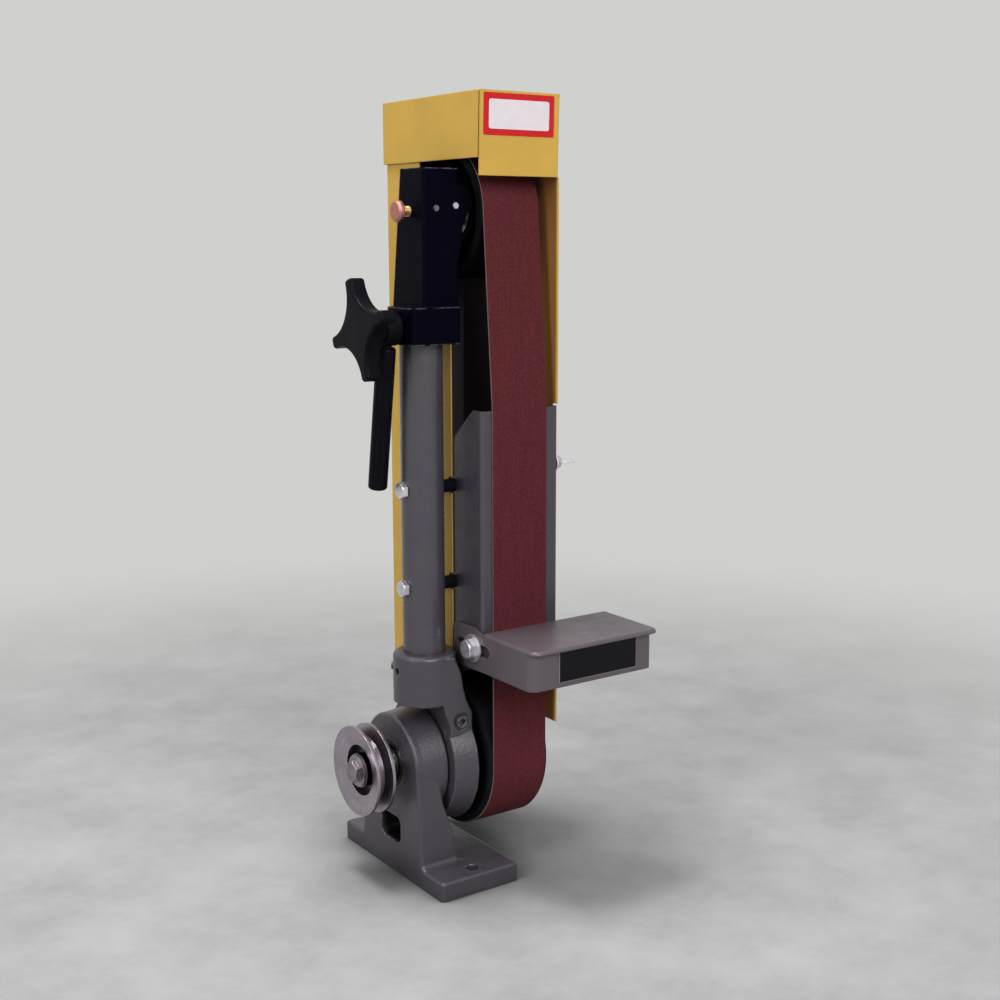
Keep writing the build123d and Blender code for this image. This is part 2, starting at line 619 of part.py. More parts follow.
def wing_nut():
    """Nut with two flared wings."""
    x0 = BRK_X1 + 1.3
    hub = turned([(x0, 3.0 + RUN), (x0, 6.0), (x0 + 5.5, 4.8), (x0 + 5.5, 3.0 + RUN)], WING_Y, WING_Z)
    wing = box(0, 11.5, 4.2, 13.5, -1.1, 1.1)
    taper = extrude(
        make_face(Polyline(
            (1.0, 4.0, -2), (5.2, 4.0, -2), (11.5, 8.8, -2), (11.5, 13.5, -2), (7, 13.0, -2), close=True)),
        amount=4, dir=(0, 0, 1))
    wing = wing & taper
    pair = wing + Rot(180, 0, 0) * wing
    return hub + Pos(x0, WING_Y, WING_Z) * Rot(-6, 0, 0) * pair


def belt_loop(grow):
    """Closed belt line around both wheels and past the platen, moved outward by grow."""
    low = WHEEL_R + GAP + grow
    high = IDLER_R + GAP + grow
    gap = GAP - (PLATEN_Y + WHEEL_R)
    bend_z = BRACKET_Z1 - 3.0
    reach = math.hypot(IDLER_Y + WHEEL_R + gap, IDLER_Z - bend_z)
    to_idler = math.atan2(IDLER_Y + WHEEL_R + gap, IDLER_Z - bend_z)
    lean = to_idler - math.asin((IDLER_R + GAP) / reach)
    bend = (-WHEEL_R - gap - grow, bend_z + grow * math.tan(lean / 2))
    front = (IDLER_Y - high * math.cos(lean), IDLER_Z + high * math.sin(lean))
    span = math.hypot(IDLER_Y, IDLER_Z - SHAFT_Z)
    tilt = math.asin((low - high) / span) - math.atan2(IDLER_Y, IDLER_Z - SHAFT_Z)
    rear_top = (IDLER_Y + high * math.cos(tilt), IDLER_Z + high * math.sin(tilt))
    rear_low = (low * math.cos(tilt), SHAFT_Z + low * math.sin(tilt))
    start = (-low, SHAFT_Z)
    over = (IDLER_Y, IDLER_Z + high)
    under = (0.0, SHAFT_Z - low)
    at = [Vector(BELT_X0, y, z) for y, z in (start, bend, front, over, rear_top, rear_low, under)]
    edges = [
        Edge.make_line(at[0], at[1]),
        Edge.make_line(at[1], at[2]),
        Edge.make_three_point_arc(at[2], at[3], at[4]),
        Edge.make_line(at[4], at[5]),
        Edge.make_three_point_arc(at[5], at[6], at[0]),
    ]
    return Wire(edges)


def abrasive_belt():
    """Endless belt: drive wheel, platen, idler and the straight run down the back."""
    face = Face(belt_loop(BELT_T), [belt_loop(0.0)])
    return extrude(face, amount=BELT_W, dir=(1, 0, 0))


POCKET_X0 = HEAD_X0 + 9.0
POCKET_Y0 = HEAD_Y0 + 7.0
POCKET_Z0 = PIVOT_Z - 20.0
POCKET_Z1 = HEAD_TOP_Z - 9.0
CARRIER_X0 = POCKET_X0 + 2.0
CARRIER_X1 = HEAD_X1 - 1.0
CARRIER_Y0 = POCKET_Y0 + 1.0
PIVOT_X = (CARRIER_X0 + CARRIER_X1) / 2
GIB_PLACES = ((POCKET_X0 + 2.1, TRACK_Z + 2.1), (HEAD_X1 - 2.9, TRACK_Z + 4.1))
STUD_R = 5.0
STUD_TIP_X = TUBE_X - TUBE_R - GAP


def upper_arm():
    """Black casting: collar that slides on the tube, guide inside it, and a pocketed box above."""
    block = box(HEAD_FACE_X, TUBE_X + HEAD_COLLAR_REACH, TUBE_Y - HEAD_COLLAR_HALF, TUBE_Y + HEAD_COLLAR_HALF,
                HEAD_COLLAR_Z0, HEAD_COLLAR_Z1)
    corners = block.edges().filter_by(Axis.Z)
    block = fillet(corners.sort_by(lambda edge: edge.center().Y - edge.center().X)[-1], 16.0)
    block = fillet(block.edges().filter_by(Axis.Z).group_by(Axis.Y)[0], 3.0)
    tower = prism_x(
        [(HEAD_Y0, HEAD_COLLAR_Z0 + 10), (8.7, HEAD_COLLAR_Z0 + 10), (8.7, HEAD_COLLAR_Z1),
         (-4.7, HEAD_TOP_Z), (HEAD_Y0, HEAD_TOP_Z)], HEAD_X0, HEAD_X1)
    tower = fillet(tower.edges().filter_by(Axis.Z).group_by(Axis.Y)[0], 2.5)
    pocket = box(POCKET_X0, HEAD_X1 + 5, POCKET_Y0, 30, POCKET_Z0, POCKET_Z1)
    ear = prism_y(
        [(HEAD_X1 - 6, PIVOT_Z - 9), (HEAD_X1, PIVOT_Z - 9), (HEAD_X1 + 0.4 * EAR_W, TRACK_Z - 10),
         (HEAD_X1 + EAR_W, TRACK_Z + 4), (HEAD_X1 + EAR_W, TRACK_Z + 16), (HEAD_X1 - 6, TRACK_Z + 18)],
        HEAD_Y0, POCKET_Y0)
    ear = fillet(ear.faces().sort_by(Axis.Y)[0].edges(), 1.5)
    body = block + (tower - pocket) + ear
    body = body - rod_z(TUBE_R + RUN, HEAD_COLLAR_Z0 - 1, HEAD_CEILING, TUBE_X, TUBE_Y)
    body = body + rod_z(TUBE_BORE_R - RUN, GUIDE_Z0, HEAD_CEILING + 1, TUBE_X, TUBE_Y)
    body = body - rod_x(STUD_R + RUN, HEAD_FACE_X - 1, TUBE_X - TUBE_R + 1, TUBE_Y, CLAMP_Z)
    body = body - rod_x(4.0 + RUN, HEAD_X0 - 1, POCKET_X0 + 1, TRACK_Y, TRACK_Z)
    body = body - rod_y(4.0, HEAD_Y0 + 1.5, POCKET_Y0 + 1, PIVOT_X, PIVOT_Z)
    for x, z in GIB_PLACES:
        body = body - rod_y(2.3, HEAD_Y0 - 1, POCKET_Y0 + 1, x, z)
    return body


def gib_screws():
    """Two small screws in the front face that steady the axle carrier."""
    return [rod_y(2.3, HEAD_Y0 - 0.8, CARRIER_Y0 - 0.4, x, z) for x, z in GIB_PLACES]


def pivot_pin():
    """Fixed pin the axle carrier tilts on."""
    return rod_y(4.0, HEAD_Y0 + 1.5, IDLER_Y + 10, PIVOT_X, PIVOT_Z)


IDLER_HUB_X0 = WHEEL_MID - 16.0
IDLER_HUB_X1 = WHEEL_MID + 16.0
SLEEVE_R = AXLE_R + 3.0


def axle_carrier():
    """Block in the pocket of the upper arm that holds the idler axle."""
    block = box(CARRIER_X0, CARRIER_X1, CARRIER_Y0, IDLER_Y + AXLE_R + 4, PIVOT_Z - 15, IDLER_Z + 18)
    block = fillet(block.edges().filter_by(Axis.X), 4.0)
    block = block - rod_y(4.0 + RUN, CARRIER_Y0 - 1, IDLER_Y + 30, PIVOT_X, PIVOT_Z)
    return block - rod_x(AXLE_R, CARRIER_X0 - 1, CARRIER_X1 + 1, IDLER_Y, IDLER_Z)


def idler_axle():
    """Axle with a reduced, threaded end."""
    neck = IDLER_HUB_X1 - 0.5
    return turned(
        [(CARRIER_X0, 0), (CARRIER_X0, AXLE_R), (neck, AXLE_R), (neck, 6.0), (neck + 11, 6.0),
         (neck + 11, 0)],
        IDLER_Y, IDLER_Z)


def axle_sleeves():
    """Distance sleeves on the axle: carrier to bearing, and between the bearings."""
    inside = IDLER_BEARING_W
    long = ring_x(SLEEVE_R, AXLE_R, CARRIER_X1, IDLER_HUB_X0, IDLER_Y, IDLER_Z)
    short = ring_x(SLEEVE_R, AXLE_R, IDLER_HUB_X0 + inside, IDLER_HUB_X1 - inside, IDLER_Y, IDLER_Z)
    return [long, short]


def axle_washer():
    return ring_x(SLEEVE_R, 6.0, IDLER_HUB_X1, IDLER_HUB_X1 + 2, IDLER_Y, IDLER_Z)


def axle_nut():
    nut = hex_x(17.0, IDLER_HUB_X1 + 2, IDLER_HUB_X1 + 9, IDLER_Y, IDLER_Z)
    return nut - rod_x(6.0, IDLER_HUB_X1, IDLER_HUB_X1 + 15, IDLER_Y, IDLER_Z)


def idler_bearings():
    """Inner rings, outer rings and balls of both idler bearings."""
    inner = []
    outer = []
    balls = []
    for x0 in (IDLER_HUB_X0, IDLER_HUB_X1 - IDLER_BEARING_W):
        one, two = bearing_rings(
            x0, IDLER_BEARING_W, AXLE_R, IDLER_BEARING_R, IDLER_BALL_R, IDLER_Y, IDLER_Z)
        inner.append(one)
        outer.append(two)
        balls = balls + bearing_balls(
            x0, IDLER_BEARING_W, AXLE_R, IDLER_BEARING_R, IDLER_BALL_R, IDLER_Y, IDLER_Z)
    return inner, outer, balls


def idler_wheel():
    """Upper wheel: rim, web and hub with a bearing seat at each end."""
    bore = IDLER_BEARING_R - 3
    rim = IDLER_R - 6.5
    hub = IDLER_BEARING_R + 5.5
    wheel = turned(
        [(IDLER_HUB_X0, bore), (IDLER_HUB_X1, bore), (IDLER_HUB_X1, hub), (WHEEL_MID + 4, hub),
         (WHEEL_MID + 4, rim), (WHEEL_X1 - 1, rim), (WHEEL_X1 - 1, IDLER_R), (WHEEL_X0 + 1, IDLER_R),
         (WHEEL_X0 + 1, rim), (WHEEL_MID - 4, rim), (WHEEL_MID - 4, hub), (IDLER_HUB_X0, hub)],
        IDLER_Y, IDLER_Z)
    left = rod_x(IDLER_BEARING_R, IDLER_HUB_X0 - 1, IDLER_HUB_X0 + IDLER_BEARING_W, IDLER_Y, IDLER_Z)
    right = rod_x(IDLER_BEARING_R, IDLER_HUB_X1 - IDLER_BEARING_W, IDLER_HUB_X1 + 1, IDLER_Y, IDLER_Z)
    return wheel - left - right


TRACK_HEAD_X = HEAD_X0 - 7.3


def tracking_screw():
    """Threaded shank that pushes on the axle carrier."""
    return rod_x(4.0, TRACK_HEAD_X - 3, CARRIER_X0 - 0.8, TRACK_Y, TRACK_Z)


def tracking_knob():
    """Round head of the tracking screw."""
    x0 = TRACK_HEAD_X - 5
    return turned(
        [(x0, 0), (x0, 6.6), (x0 + 1.6, 8.2), (TRACK_HEAD_X - 0.8, 8.2), (TRACK_HEAD_X, 7.4),
         (TRACK_HEAD_X, 4.0), (TRACK_HEAD_X - 3, 4.0), (TRACK_HEAD_X - 3, 0)], TRACK_Y, TRACK_Z)


LEVER_X1 = HEAD_FACE_X - 0.8
LEVER_X0 = LEVER_X1 - 13.7
KNOB_X1 = LEVER_X0 - 0.5
STAR_X1 = KNOB_X1 - 7.0
STAR_X0 = STAR_X1 - STAR_T


def clamp_stud():
    """Clamp screw through the collar of the upper arm."""
    return rod_x(STUD_R, STAR_X1 - 4, STUD_TIP_X, TUBE_Y, CLAMP_Z)


def clamp_knob():
    """Four-lobed star knob with a short hub."""
    star = Circle(STAR_R)
    valley_at = STAR_TIP_HALF + STAR_VALLEY_R
    for k in range(4):
        star = star - Rot(0, 0, 90 * k) * Pos(valley_at, valley_at) * Circle(STAR_VALLEY_R)
    star = Rot(0, 0, STAR_TURN) * fillet(star.vertices(), STAR_ROUND + 0.6)
    solid = extrude(star, amount=STAR_T)
    solid = fillet(solid.faces().filter_by(Axis.Z).edges(), STAR_ROUND)
    solid = Pos(STAR_X0, TUBE_Y, CLAMP_Z) * Rot(0, 90, 0) * solid
    hub = rod_x(11.0, STAR_X1 - 1, KNOB_X1, TUBE_Y, CLAMP_Z)
    return solid + hub - rod_x(STUD_R, STAR_X1 - 4, KNOB_X1 + 1, TUBE_Y, CLAMP_Z)


def at_lever(piece):
    """Move a piece drawn hanging from the origin to the lever's place and lean."""
    mid = (LEVER_X0 + LEVER_X1) / 2
    return Pos(mid, TUBE_Y, CLAMP_Z) * Rot(LEVER_LEAN, 0, 0) * piece


def tension_lever():
    """Hub on the clamp screw and the rod inside the grip."""
    half = (LEVER_X1 - LEVER_X0) / 2
    hub = rod_x(13.0, -half, half, 0, 0)
    hub = fillet(hub.edges().filter_by(GeomType.CIRCLE), 2.0)
    lever = hub + rod_z(4.0, -LEVER_L * 0.6, 0, 0, 0)
    return at_lever(lever - rod_x(STUD_R + RUN, -half - 1, half + 1, 0, 0))


def lever_grip():
    """Fluted grip on the lever rod."""
    grip = rod_z(7.5, -LEVER_L, -14.0, 0, 0)
    grip = fillet(grip.edges().filter_by(GeomType.CIRCLE), 2.5)
    for k in range(8):
        turn = math.radians(45 * k + 22.5)
        grip = grip - rod_z(1.6, -LEVER_L + 8, -24, 8.2 * math.cos(turn), 8.2 * math.sin(turn))
    return at_lever(grip - rod_z(4.0, -LEVER_L * 0.6, 0, 0, 0))


LUG_END_Y = TABLE_BOLT_Y + LUG_REACH
LUG_HALF = 16.0
SLOT_HALF = TABLE_BOLT_R + 0.8
TABLE_X1 = TABLE_X0 + TABLE_PLATE_T - 0.7 + TABLE_W
SKIRT_T = 3.0
LIP = 3.5
SKIRT_Z0 = TABLE_TOP_Z - SKIRT_H
SKIRT_Y = TABLE_FRONT_Y + LIP
TABLE_UNDER_Z = TABLE_TOP_Z - TABLE_T


def work_table():
    """Flat top with a lip, skirt on three sides and a slotted arm on the left."""
    top = box(TABLE_X0, TABLE_X1, TABLE_FRONT_Y, TABLE_REAR_Y, TABLE_UNDER_Z, TABLE_TOP_Z)
    top = fillet(top.edges().filter_by(Axis.Z).group_by(Axis.Y)[0], TABLE_CORNER)
    along = top.edges().filter_by(Axis.Y)
    top = fillet(along.sort_by(lambda edge: edge.center().Z - edge.center().X)[-1], 2.6)
    x1 = TABLE_X0 + TABLE_PLATE_T
    tray = box(TABLE_X0, TABLE_X1 - LIP, SKIRT_Y, TABLE_REAR_Y, SKIRT_Z0, TABLE_UNDER_Z)
    tray = fillet(tray.edges().filter_by(Axis.Z).group_by(Axis.Y)[0], TABLE_CORNER)
    room = box(x1, TABLE_X1 - LIP - SKIRT_T, SKIRT_Y + SKIRT_T, TABLE_REAR_Y + 5, SKIRT_Z0 - 1, TABLE_UNDER_Z)
    room = fillet(room.edges().filter_by(Axis.Z).group_by(Axis.Y)[0], TABLE_CORNER - SKIRT_T)
    tray = tray - room
    lug = prism_x(
        [(TABLE_REAR_Y - 2, SKIRT_Z0), (LUG_END_Y, SKIRT_Z0 - 1), (LUG_END_Y, TABLE_BOLT_Z + LUG_HALF),
         (TABLE_BOLT_Y, TABLE_BOLT_Z + LUG_HALF), (TABLE_REAR_Y, TABLE_UNDER_Z),
         (TABLE_REAR_Y - 2, TABLE_UNDER_Z)],
        TABLE_X0, x1)
    lug = fillet(lug.edges().filter_by(Axis.X).group_by(Axis.Y)[-1], 4.0)
    slot = slot_x(TABLE_X0 - 1, x1 + 1, TABLE_BOLT_Y - 22.2, LUG_END_Y - 4.5, TABLE_BOLT_Z, SLOT_HALF)
    return top + tray + lug - slot


def table_plate():
    """Blank plate on the front of the table skirt."""
    x0 = TABLE_X0 + PLATE_INSET
    z1 = TABLE_UNDER_Z - 0.3
    return box(x0, x0 + PLATE_W, SKIRT_Y - 0.6, SKIRT_Y, z1 - PLATE_H, z1)


WASHER_X1 = TABLE_X0 - 0.1
WASHER_X0 = WASHER_X1 - 1.8


def table_bolt():
    """Hexagon bolt the table tilts on."""
    head = hex_x(14.0, WASHER_X0 - 6.0, WASHER_X0, TABLE_BOLT_Y, TABLE_BOLT_Z)
    cone = turned(
        [(WASHER_X0 - 6.0, 0), (WASHER_X0 - 6.0, 6.7), (WASHER_X0 - 4.8, 8.2), (WASHER_X0, 8.2),
         (WASHER_X0, 0)],
        TABLE_BOLT_Y, TABLE_BOLT_Z)
    shank = rod_x(TABLE_BOLT_R, WASHER_X0 - 1, BRK_X0 + BRACKET_T + 6.5, TABLE_BOLT_Y, TABLE_BOLT_Z)
    return (head & cone) + shank


def table_washer():
    return ring_x(11.3, TABLE_BOLT_R + RUN, WASHER_X0 + 0.1, WASHER_X1, TABLE_BOLT_Y, TABLE_BOLT_Z)


def table_nut():
    """Round clinch nut behind the left flange of the bracket."""
    x0 = BRK_X0 + BRACKET_T
    return ring_x(5.4, TABLE_BOLT_R, x0, x0 + 5.5, TABLE_BOLT_Y, TABLE_BOLT_Z)


shaft_inner, shaft_outer, shaft_balls = shaft_bearings()
idler_inner, idler_outer, idler_balls = idler_bearings()

PIECES = {
    "base_casting": base_casting(),
    "shaft_bearing_outer_rings": shaft_outer,
    "shaft_bearing_balls": shaft_balls,
    "drive_shaft": drive_shaft(),
    "shaft_bearing_inner_rings": shaft_inner,
    "v_pulley": v_pulley(),
    "pulley_set_screw": pulley_set_screw(),
    "pulley_end_washer": pulley_end_washer(),
    "pulley_end_screw": pulley_end_screw(),
    "drive_wheel": drive_wheel(),
    "drive_wheel_tyre": drive_wheel_tyre(),
    "wheel_washer": wheel_washer(),
    "wheel_nut": wheel_nut(),
    "arm_casting": arm_casting(),
    "arm_clamp_screw": arm_clamp_screw(),
    "collar_set_screws": collar_set_screws(),
    "column_tube": column_tube(),
    "spring_seat": spring_seat(),
    "tension_spring": tension_spring(),
    "platen_bracket": platen_bracket(),
    "bracket_spacers": bracket_spacers(),
    "bracket_bolts": bracket_bolts(),
    "bracket_nuts": bracket_nuts(),
    "guard_body": guard_body(),
    "guard_cap": guard_cap(),
    "guard_label": guard_label(),
    "guard_stud": guard_stud(),
    "wing_washer": wing_washer(),
    "wing_nut": wing_nut(),
    "abrasive_belt": abrasive_belt(),
    "upper_arm": upper_arm(),
    "gib_screws": gib_screws(),
    "pivot_pin": pivot_pin(),
    "axle_carrier": axle_carrier(),
    "idler_axle": idler_axle(),
    "axle_sleeves": axle_sleeves(),
    "axle_washer": axle_washer(),
    "axle_nut": axle_nut(),
    "idler_bearing_inner_rings": idler_inner,
    "idler_bearing_balls": idler_balls,
    "idler_wheel": idler_wheel(),
    "idler_bearing_outer_rings": idler_outer,
    "tracking_screw": tracking_screw(),
    "tracking_knob": tracking_knob(),
    "clamp_knob": clamp_knob(),
    "clamp_stud": clamp_stud(),
    "tension_lever": tension_lever(),
    "lever_grip": lever_grip(),
    "table_bolt": table_bolt(),
    "table_washer": table_washer(),
    "table_nut": table_nut(),
    "work_table": work_table(),
    "table_plate": table_plate(),
}

os.makedirs("parts", exist_ok=True)
for name, piece in PIECES.items():
    if isinstance(piece, list):
        piece = Compound(children=piece)
    piece.label = name
    export_step(piece, "parts/" + name + ".step")
    print(name, round(piece.volume, 1))
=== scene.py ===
# %% [markdown]
# # A stationary belt sander
# The machine stands on a bench: a grey cast foot carries a shaft with a pulley on one side and
# a driven wheel on the other, an arm with a tall tube swings round that shaft, and a narrow
# abrasive belt runs from the wheel up past a platen to an idler under a yellow cap.
# The hard pieces come from the CAD model and stay where it puts them. This lesson gives each
# of them its finish, and models the few pieces that a plain solid can't show well.

# %% Load the frame
import math

import bmesh
import bpy
from mathutils import Matrix, Vector


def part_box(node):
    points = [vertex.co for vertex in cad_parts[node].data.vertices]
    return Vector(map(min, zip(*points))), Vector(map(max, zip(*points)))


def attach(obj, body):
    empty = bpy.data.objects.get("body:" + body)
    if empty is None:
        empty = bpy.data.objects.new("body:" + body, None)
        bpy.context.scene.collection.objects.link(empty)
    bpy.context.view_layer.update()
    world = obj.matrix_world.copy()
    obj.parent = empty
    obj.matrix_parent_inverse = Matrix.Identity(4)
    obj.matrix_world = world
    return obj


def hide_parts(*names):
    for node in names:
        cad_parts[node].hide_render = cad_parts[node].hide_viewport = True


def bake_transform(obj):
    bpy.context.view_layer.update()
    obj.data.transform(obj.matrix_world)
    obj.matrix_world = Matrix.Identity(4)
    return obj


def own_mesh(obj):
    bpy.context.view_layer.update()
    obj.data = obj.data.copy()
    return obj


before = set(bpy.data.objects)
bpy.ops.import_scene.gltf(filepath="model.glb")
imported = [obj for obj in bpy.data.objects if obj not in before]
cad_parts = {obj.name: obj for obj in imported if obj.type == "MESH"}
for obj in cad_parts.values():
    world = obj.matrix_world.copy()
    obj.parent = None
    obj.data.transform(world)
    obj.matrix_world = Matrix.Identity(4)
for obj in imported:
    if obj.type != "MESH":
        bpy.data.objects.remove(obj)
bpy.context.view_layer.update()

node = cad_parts

# %% [markdown]
# ## The camera
# The picture was taken from the pulley's side, a little above the middle of the machine.
# A camera could be aimed with a constraint, but a matrix made of its three directions is
# exact: right, up and backwards are the columns of its turn, and its place is the fourth.

# %% Set the camera up
SENSOR = 36.0
LENS = 51.62
CAMERA_AT = (-0.5913, -0.9547, 0.5082)
LOOK_ALONG = (0.5616, 0.8075, -0.1802)
ROLL_DEGREES = -0.13

camera_data = bpy.data.cameras.new("view_of_the_sander")
camera_data.sensor_width = SENSOR
camera_data.lens = LENS
camera_data.clip_end = 40.0
camera = bpy.data.objects.new("view_of_the_sander", camera_data)
bpy.context.scene.collection.objects.link(camera)

look = Vector(LOOK_ALONG).normalized()
right = look.cross(Vector((0, 0, 1))).normalized()
up = right.cross(look)
turn = Matrix((right, up, -look)).transposed().to_4x4()
roll = Matrix.Rotation(math.radians(ROLL_DEGREES), 4, "Z")
camera.matrix_world = Matrix.Translation(CAMERA_AT) @ turn @ roll
bpy.context.scene.camera = camera
print("camera lens:", camera_data.lens, "mm, at", [round(v, 3) for v in camera.location])

# %% [markdown]
# ## Floor, backdrop and light
# The machine stands on a plain pale floor in front of a pale wall. One large sheet does for
# the floor, and the world's colour is the wall. The floor takes the shadow near the machine,
# is darkened further by painted shadow close under the foot, and goes over into the wall's
# colour further away, so that no horizon shows. Only rays from the camera, and those that
# metal and glass send on, see that colour: the light on the machine stays at a plain level.

# %% Pale wall
WALL = (0.631, 0.638, 0.617, 1.0)
SKYLIGHT = (0.93, 0.95, 1.0, 1.0)
SKYLIGHT_LEVEL = 0.13
world = bpy.data.worlds.new("pale_wall")
world.use_nodes = True
bpy.context.scene.world = world
wall_nodes, wall_links = world.node_tree.nodes, world.node_tree.links
wall_nodes.clear()
wall_out = wall_nodes.new("ShaderNodeOutputWorld")
wall_seen = wall_nodes.new("ShaderNodeBackground")
wall_seen.inputs["Color"].default_value = WALL
wall_light = wall_nodes.new("ShaderNodeBackground")
wall_light.inputs["Color"].default_value = SKYLIGHT
wall_light.inputs["Strength"].default_value = SKYLIGHT_LEVEL
wall_mix = wall_nodes.new("ShaderNodeMixShader")


def seen_rays(nodes, links):
    """1 for a ray from the camera, or one that metal or glass sends on."""
    path = nodes.new("ShaderNodeLightPath")
    first = nodes.new("ShaderNodeMath")
    first.operation = "MAXIMUM"
    both = nodes.new("ShaderNodeMath")
    both.operation = "MAXIMUM"
    links.new(path.outputs["Is Camera Ray"], first.inputs[0])
    links.new(path.outputs["Is Glossy Ray"], first.inputs[1])
    links.new(first.outputs[0], both.inputs[0])
    links.new(path.outputs["Is Transmission Ray"], both.inputs[1])
    return both.outputs[0]


wall_links.new(seen_rays(wall_nodes, wall_links), wall_mix.inputs["Fac"])
wall_links.new(wall_light.outputs[0], wall_mix.inputs[1])
wall_links.new(wall_seen.outputs[0], wall_mix.inputs[2])
wall_links.new(wall_mix.outputs[0], wall_out.inputs["Surface"])
print("wall colour:", WALL[:3])

# %% Pale floor
FLOOR_R = 14.0
FLOOR_CLOUDS = 9.0
FLOOR_DARK = (0.315, 0.315, 0.315, 1)
FLOOR_PALE = (0.435, 0.435, 0.435, 1)
PAINTED_SHADOW_REACH = 0.12
FADE_FROM = 0.35
FADE_TO = 1.25

floor_mesh = bpy.data.meshes.new("pale_floor")
floor_bm = bmesh.new()
bmesh.ops.create_circle(floor_bm, cap_ends=True, radius=FLOOR_R, segments=96)
floor_bm.to_mesh(floor_mesh)
floor_bm.free()
floor = bpy.data.objects.new("pale_floor", floor_mesh)
bpy.context.scene.collection.objects.link(floor)

screed = bpy.data.materials.new("pale_screed")
screed.use_nodes = True
floor_mesh.materials.append(screed)
floor_nodes, floor_links = screed.node_tree.nodes, screed.node_tree.links
floor_shader = floor_nodes["Principled BSDF"]
floor_shader.inputs["Roughness"].default_value = 0.75
floor_shader.inputs["Specular IOR Level"].default_value = 0.15
place = floor_nodes.new("ShaderNodeTexCoord")
cloud = floor_nodes.new("ShaderNodeTexNoise")
cloud.inputs["Scale"].default_value = FLOOR_CLOUDS
cloud.inputs["Detail"].default_value = 8.0
cloud.inputs["Roughness"].default_value = 0.68
tones = floor_nodes.new("ShaderNodeValToRGB")
tones.color_ramp.elements[0].position = 0.3
tones.color_ramp.elements[0].color = FLOOR_DARK
tones.color_ramp.elements[1].position = 0.72
tones.color_ramp.elements[1].color = FLOOR_PALE
floor_links.new(place.outputs["Object"], cloud.inputs["Vector"])
floor_links.new(cloud.outputs["Fac"], tones.inputs["Fac"])
# painted shadow: the floor's colour is darkened where ambient occlusion finds the machine near
shadow_probe = floor_nodes.new("ShaderNodeAmbientOcclusion")
shadow_probe.samples = 8
shadow_probe.inputs["Distance"].default_value = PAINTED_SHADOW_REACH
painted_floor_shadow = floor_nodes.new("ShaderNodeMapRange")
painted_floor_shadow.inputs["From Min"].default_value = 0.30
painted_floor_shadow.inputs["From Max"].default_value = 0.95
painted_floor_shadow.inputs["To Min"].default_value = 0.10
floor_tone = floor_nodes.new("ShaderNodeVectorMath")
floor_tone.operation = "SCALE"
floor_links.new(shadow_probe.outputs["AO"], painted_floor_shadow.inputs["Value"])
floor_links.new(tones.outputs["Color"], floor_tone.inputs["Vector"])
floor_links.new(painted_floor_shadow.outputs["Result"], floor_tone.inputs["Scale"])
floor_links.new(floor_tone.outputs["Vector"], floor_shader.inputs["Base Color"])

away = floor_nodes.new("ShaderNodeVectorMath")
away.operation = "LENGTH"
fade = floor_nodes.new("ShaderNodeMapRange")
fade.interpolation_type = "SMOOTHSTEP"
fade.inputs["From Min"].default_value = FADE_FROM
fade.inputs["From Max"].default_value = FADE_TO
far = floor_nodes.new("ShaderNodeEmission")
far.inputs["Color"].default_value = WALL
seen_far = floor_nodes.new("ShaderNodeMath")
seen_far.operation = "MULTIPLY"
floor_mix = floor_nodes.new("ShaderNodeMixShader")
floor_out = floor_nodes["Material Output"]
floor_links.new(place.outputs["Object"], away.inputs[0])
floor_links.new(away.outputs["Value"], fade.inputs["Value"])
floor_links.new(fade.outputs["Result"], seen_far.inputs[0])
floor_links.new(seen_rays(floor_nodes, floor_links), seen_far.inputs[1])
floor_links.new(seen_far.outputs[0], floor_mix.inputs["Fac"])
floor_links.new(floor_shader.outputs["BSDF"], floor_mix.inputs[1])
floor_links.new(far.outputs["Emission"], floor_mix.inputs[2])
floor_links.new(floor_mix.outputs[0], floor_out.inputs["Surface"])
print("floor reaches", FLOOR_R, "m each way")

# %% [markdown]
# ### Lamps
# The light is soft, and comes from above, from the front and from the pulley's side. A sun
# could light the machine too, but its shadows are hard. A lamp with a large face gives a soft
# shadow by itself, and the smaller one overhead makes the firm shadow beside the foot.

# %% Soft lamps
def soft_lamp(name, at, aim, wide, high, watts):
    """A large lamp that looks from one point to another."""
    lamp = bpy.data.lights.new(name, "AREA")
    lamp.shape = "RECTANGLE"
    lamp.size = wide
    lamp.size_y = high
    lamp.energy = watts
    stand = bpy.data.objects.new(name, lamp)
    stand.matrix_world = Matrix.Translation(at) @ (
        Vector(aim) - Vector(at)).to_track_quat("-Z", "Y").to_matrix().to_4x4()
    bpy.context.scene.collection.objects.link(stand)
    return stand


MIDDLE = (0.0, 0.0, 0.30)
top_lamp = soft_lamp("top_lamp", (-0.35, 0.30, 2.9), MIDDLE, wide=0.6, high=0.6, watts=63)
front_lamp = soft_lamp("front_lamp", (-0.3, -2.3, 1.7), MIDDLE, wide=1.6, high=1.6, watts=52)
side_lamp = soft_lamp("side_lamp", (-2.2, -0.5, 1.7), MIDDLE, wide=1.0, high=1.8, watts=28)
bpy.context.scene.view_settings.view_transform = "Standard"
print("lamps:", [lamp.name for lamp in (top_lamp, front_lamp, side_lamp)])

# %% [markdown]
# ## Tools for the finishes
# Every finish on the machine is built from the same few things: a noise that breaks the
# colour up, a bump that gives the surface its grain, edges that are a little round, and
# edges where the paint has rubbed through. Each is a small function that adds nodes to a
# material, so a finish reads as a short list. All patterns lie on Object coordinates: one
# unit is a metre there, so a scale of 1000 is a grain of about a millimetre.

# %% Grain, spread and mix
def new_finish(name, roughness, metallic=0.0):
    """A bare finish: the material, its tree, its shader and the place on the piece."""
    finish = bpy.data.materials.new(name)
    finish.use_nodes = True
    tree = finish.node_tree
    shader = tree.nodes["Principled BSDF"]
    shader.inputs["Roughness"].default_value = roughness
    shader.inputs["Metallic"].default_value = metallic
    spot = tree.nodes.new("ShaderNodeTexCoord").outputs["Object"]
    return finish, tree, shader, spot


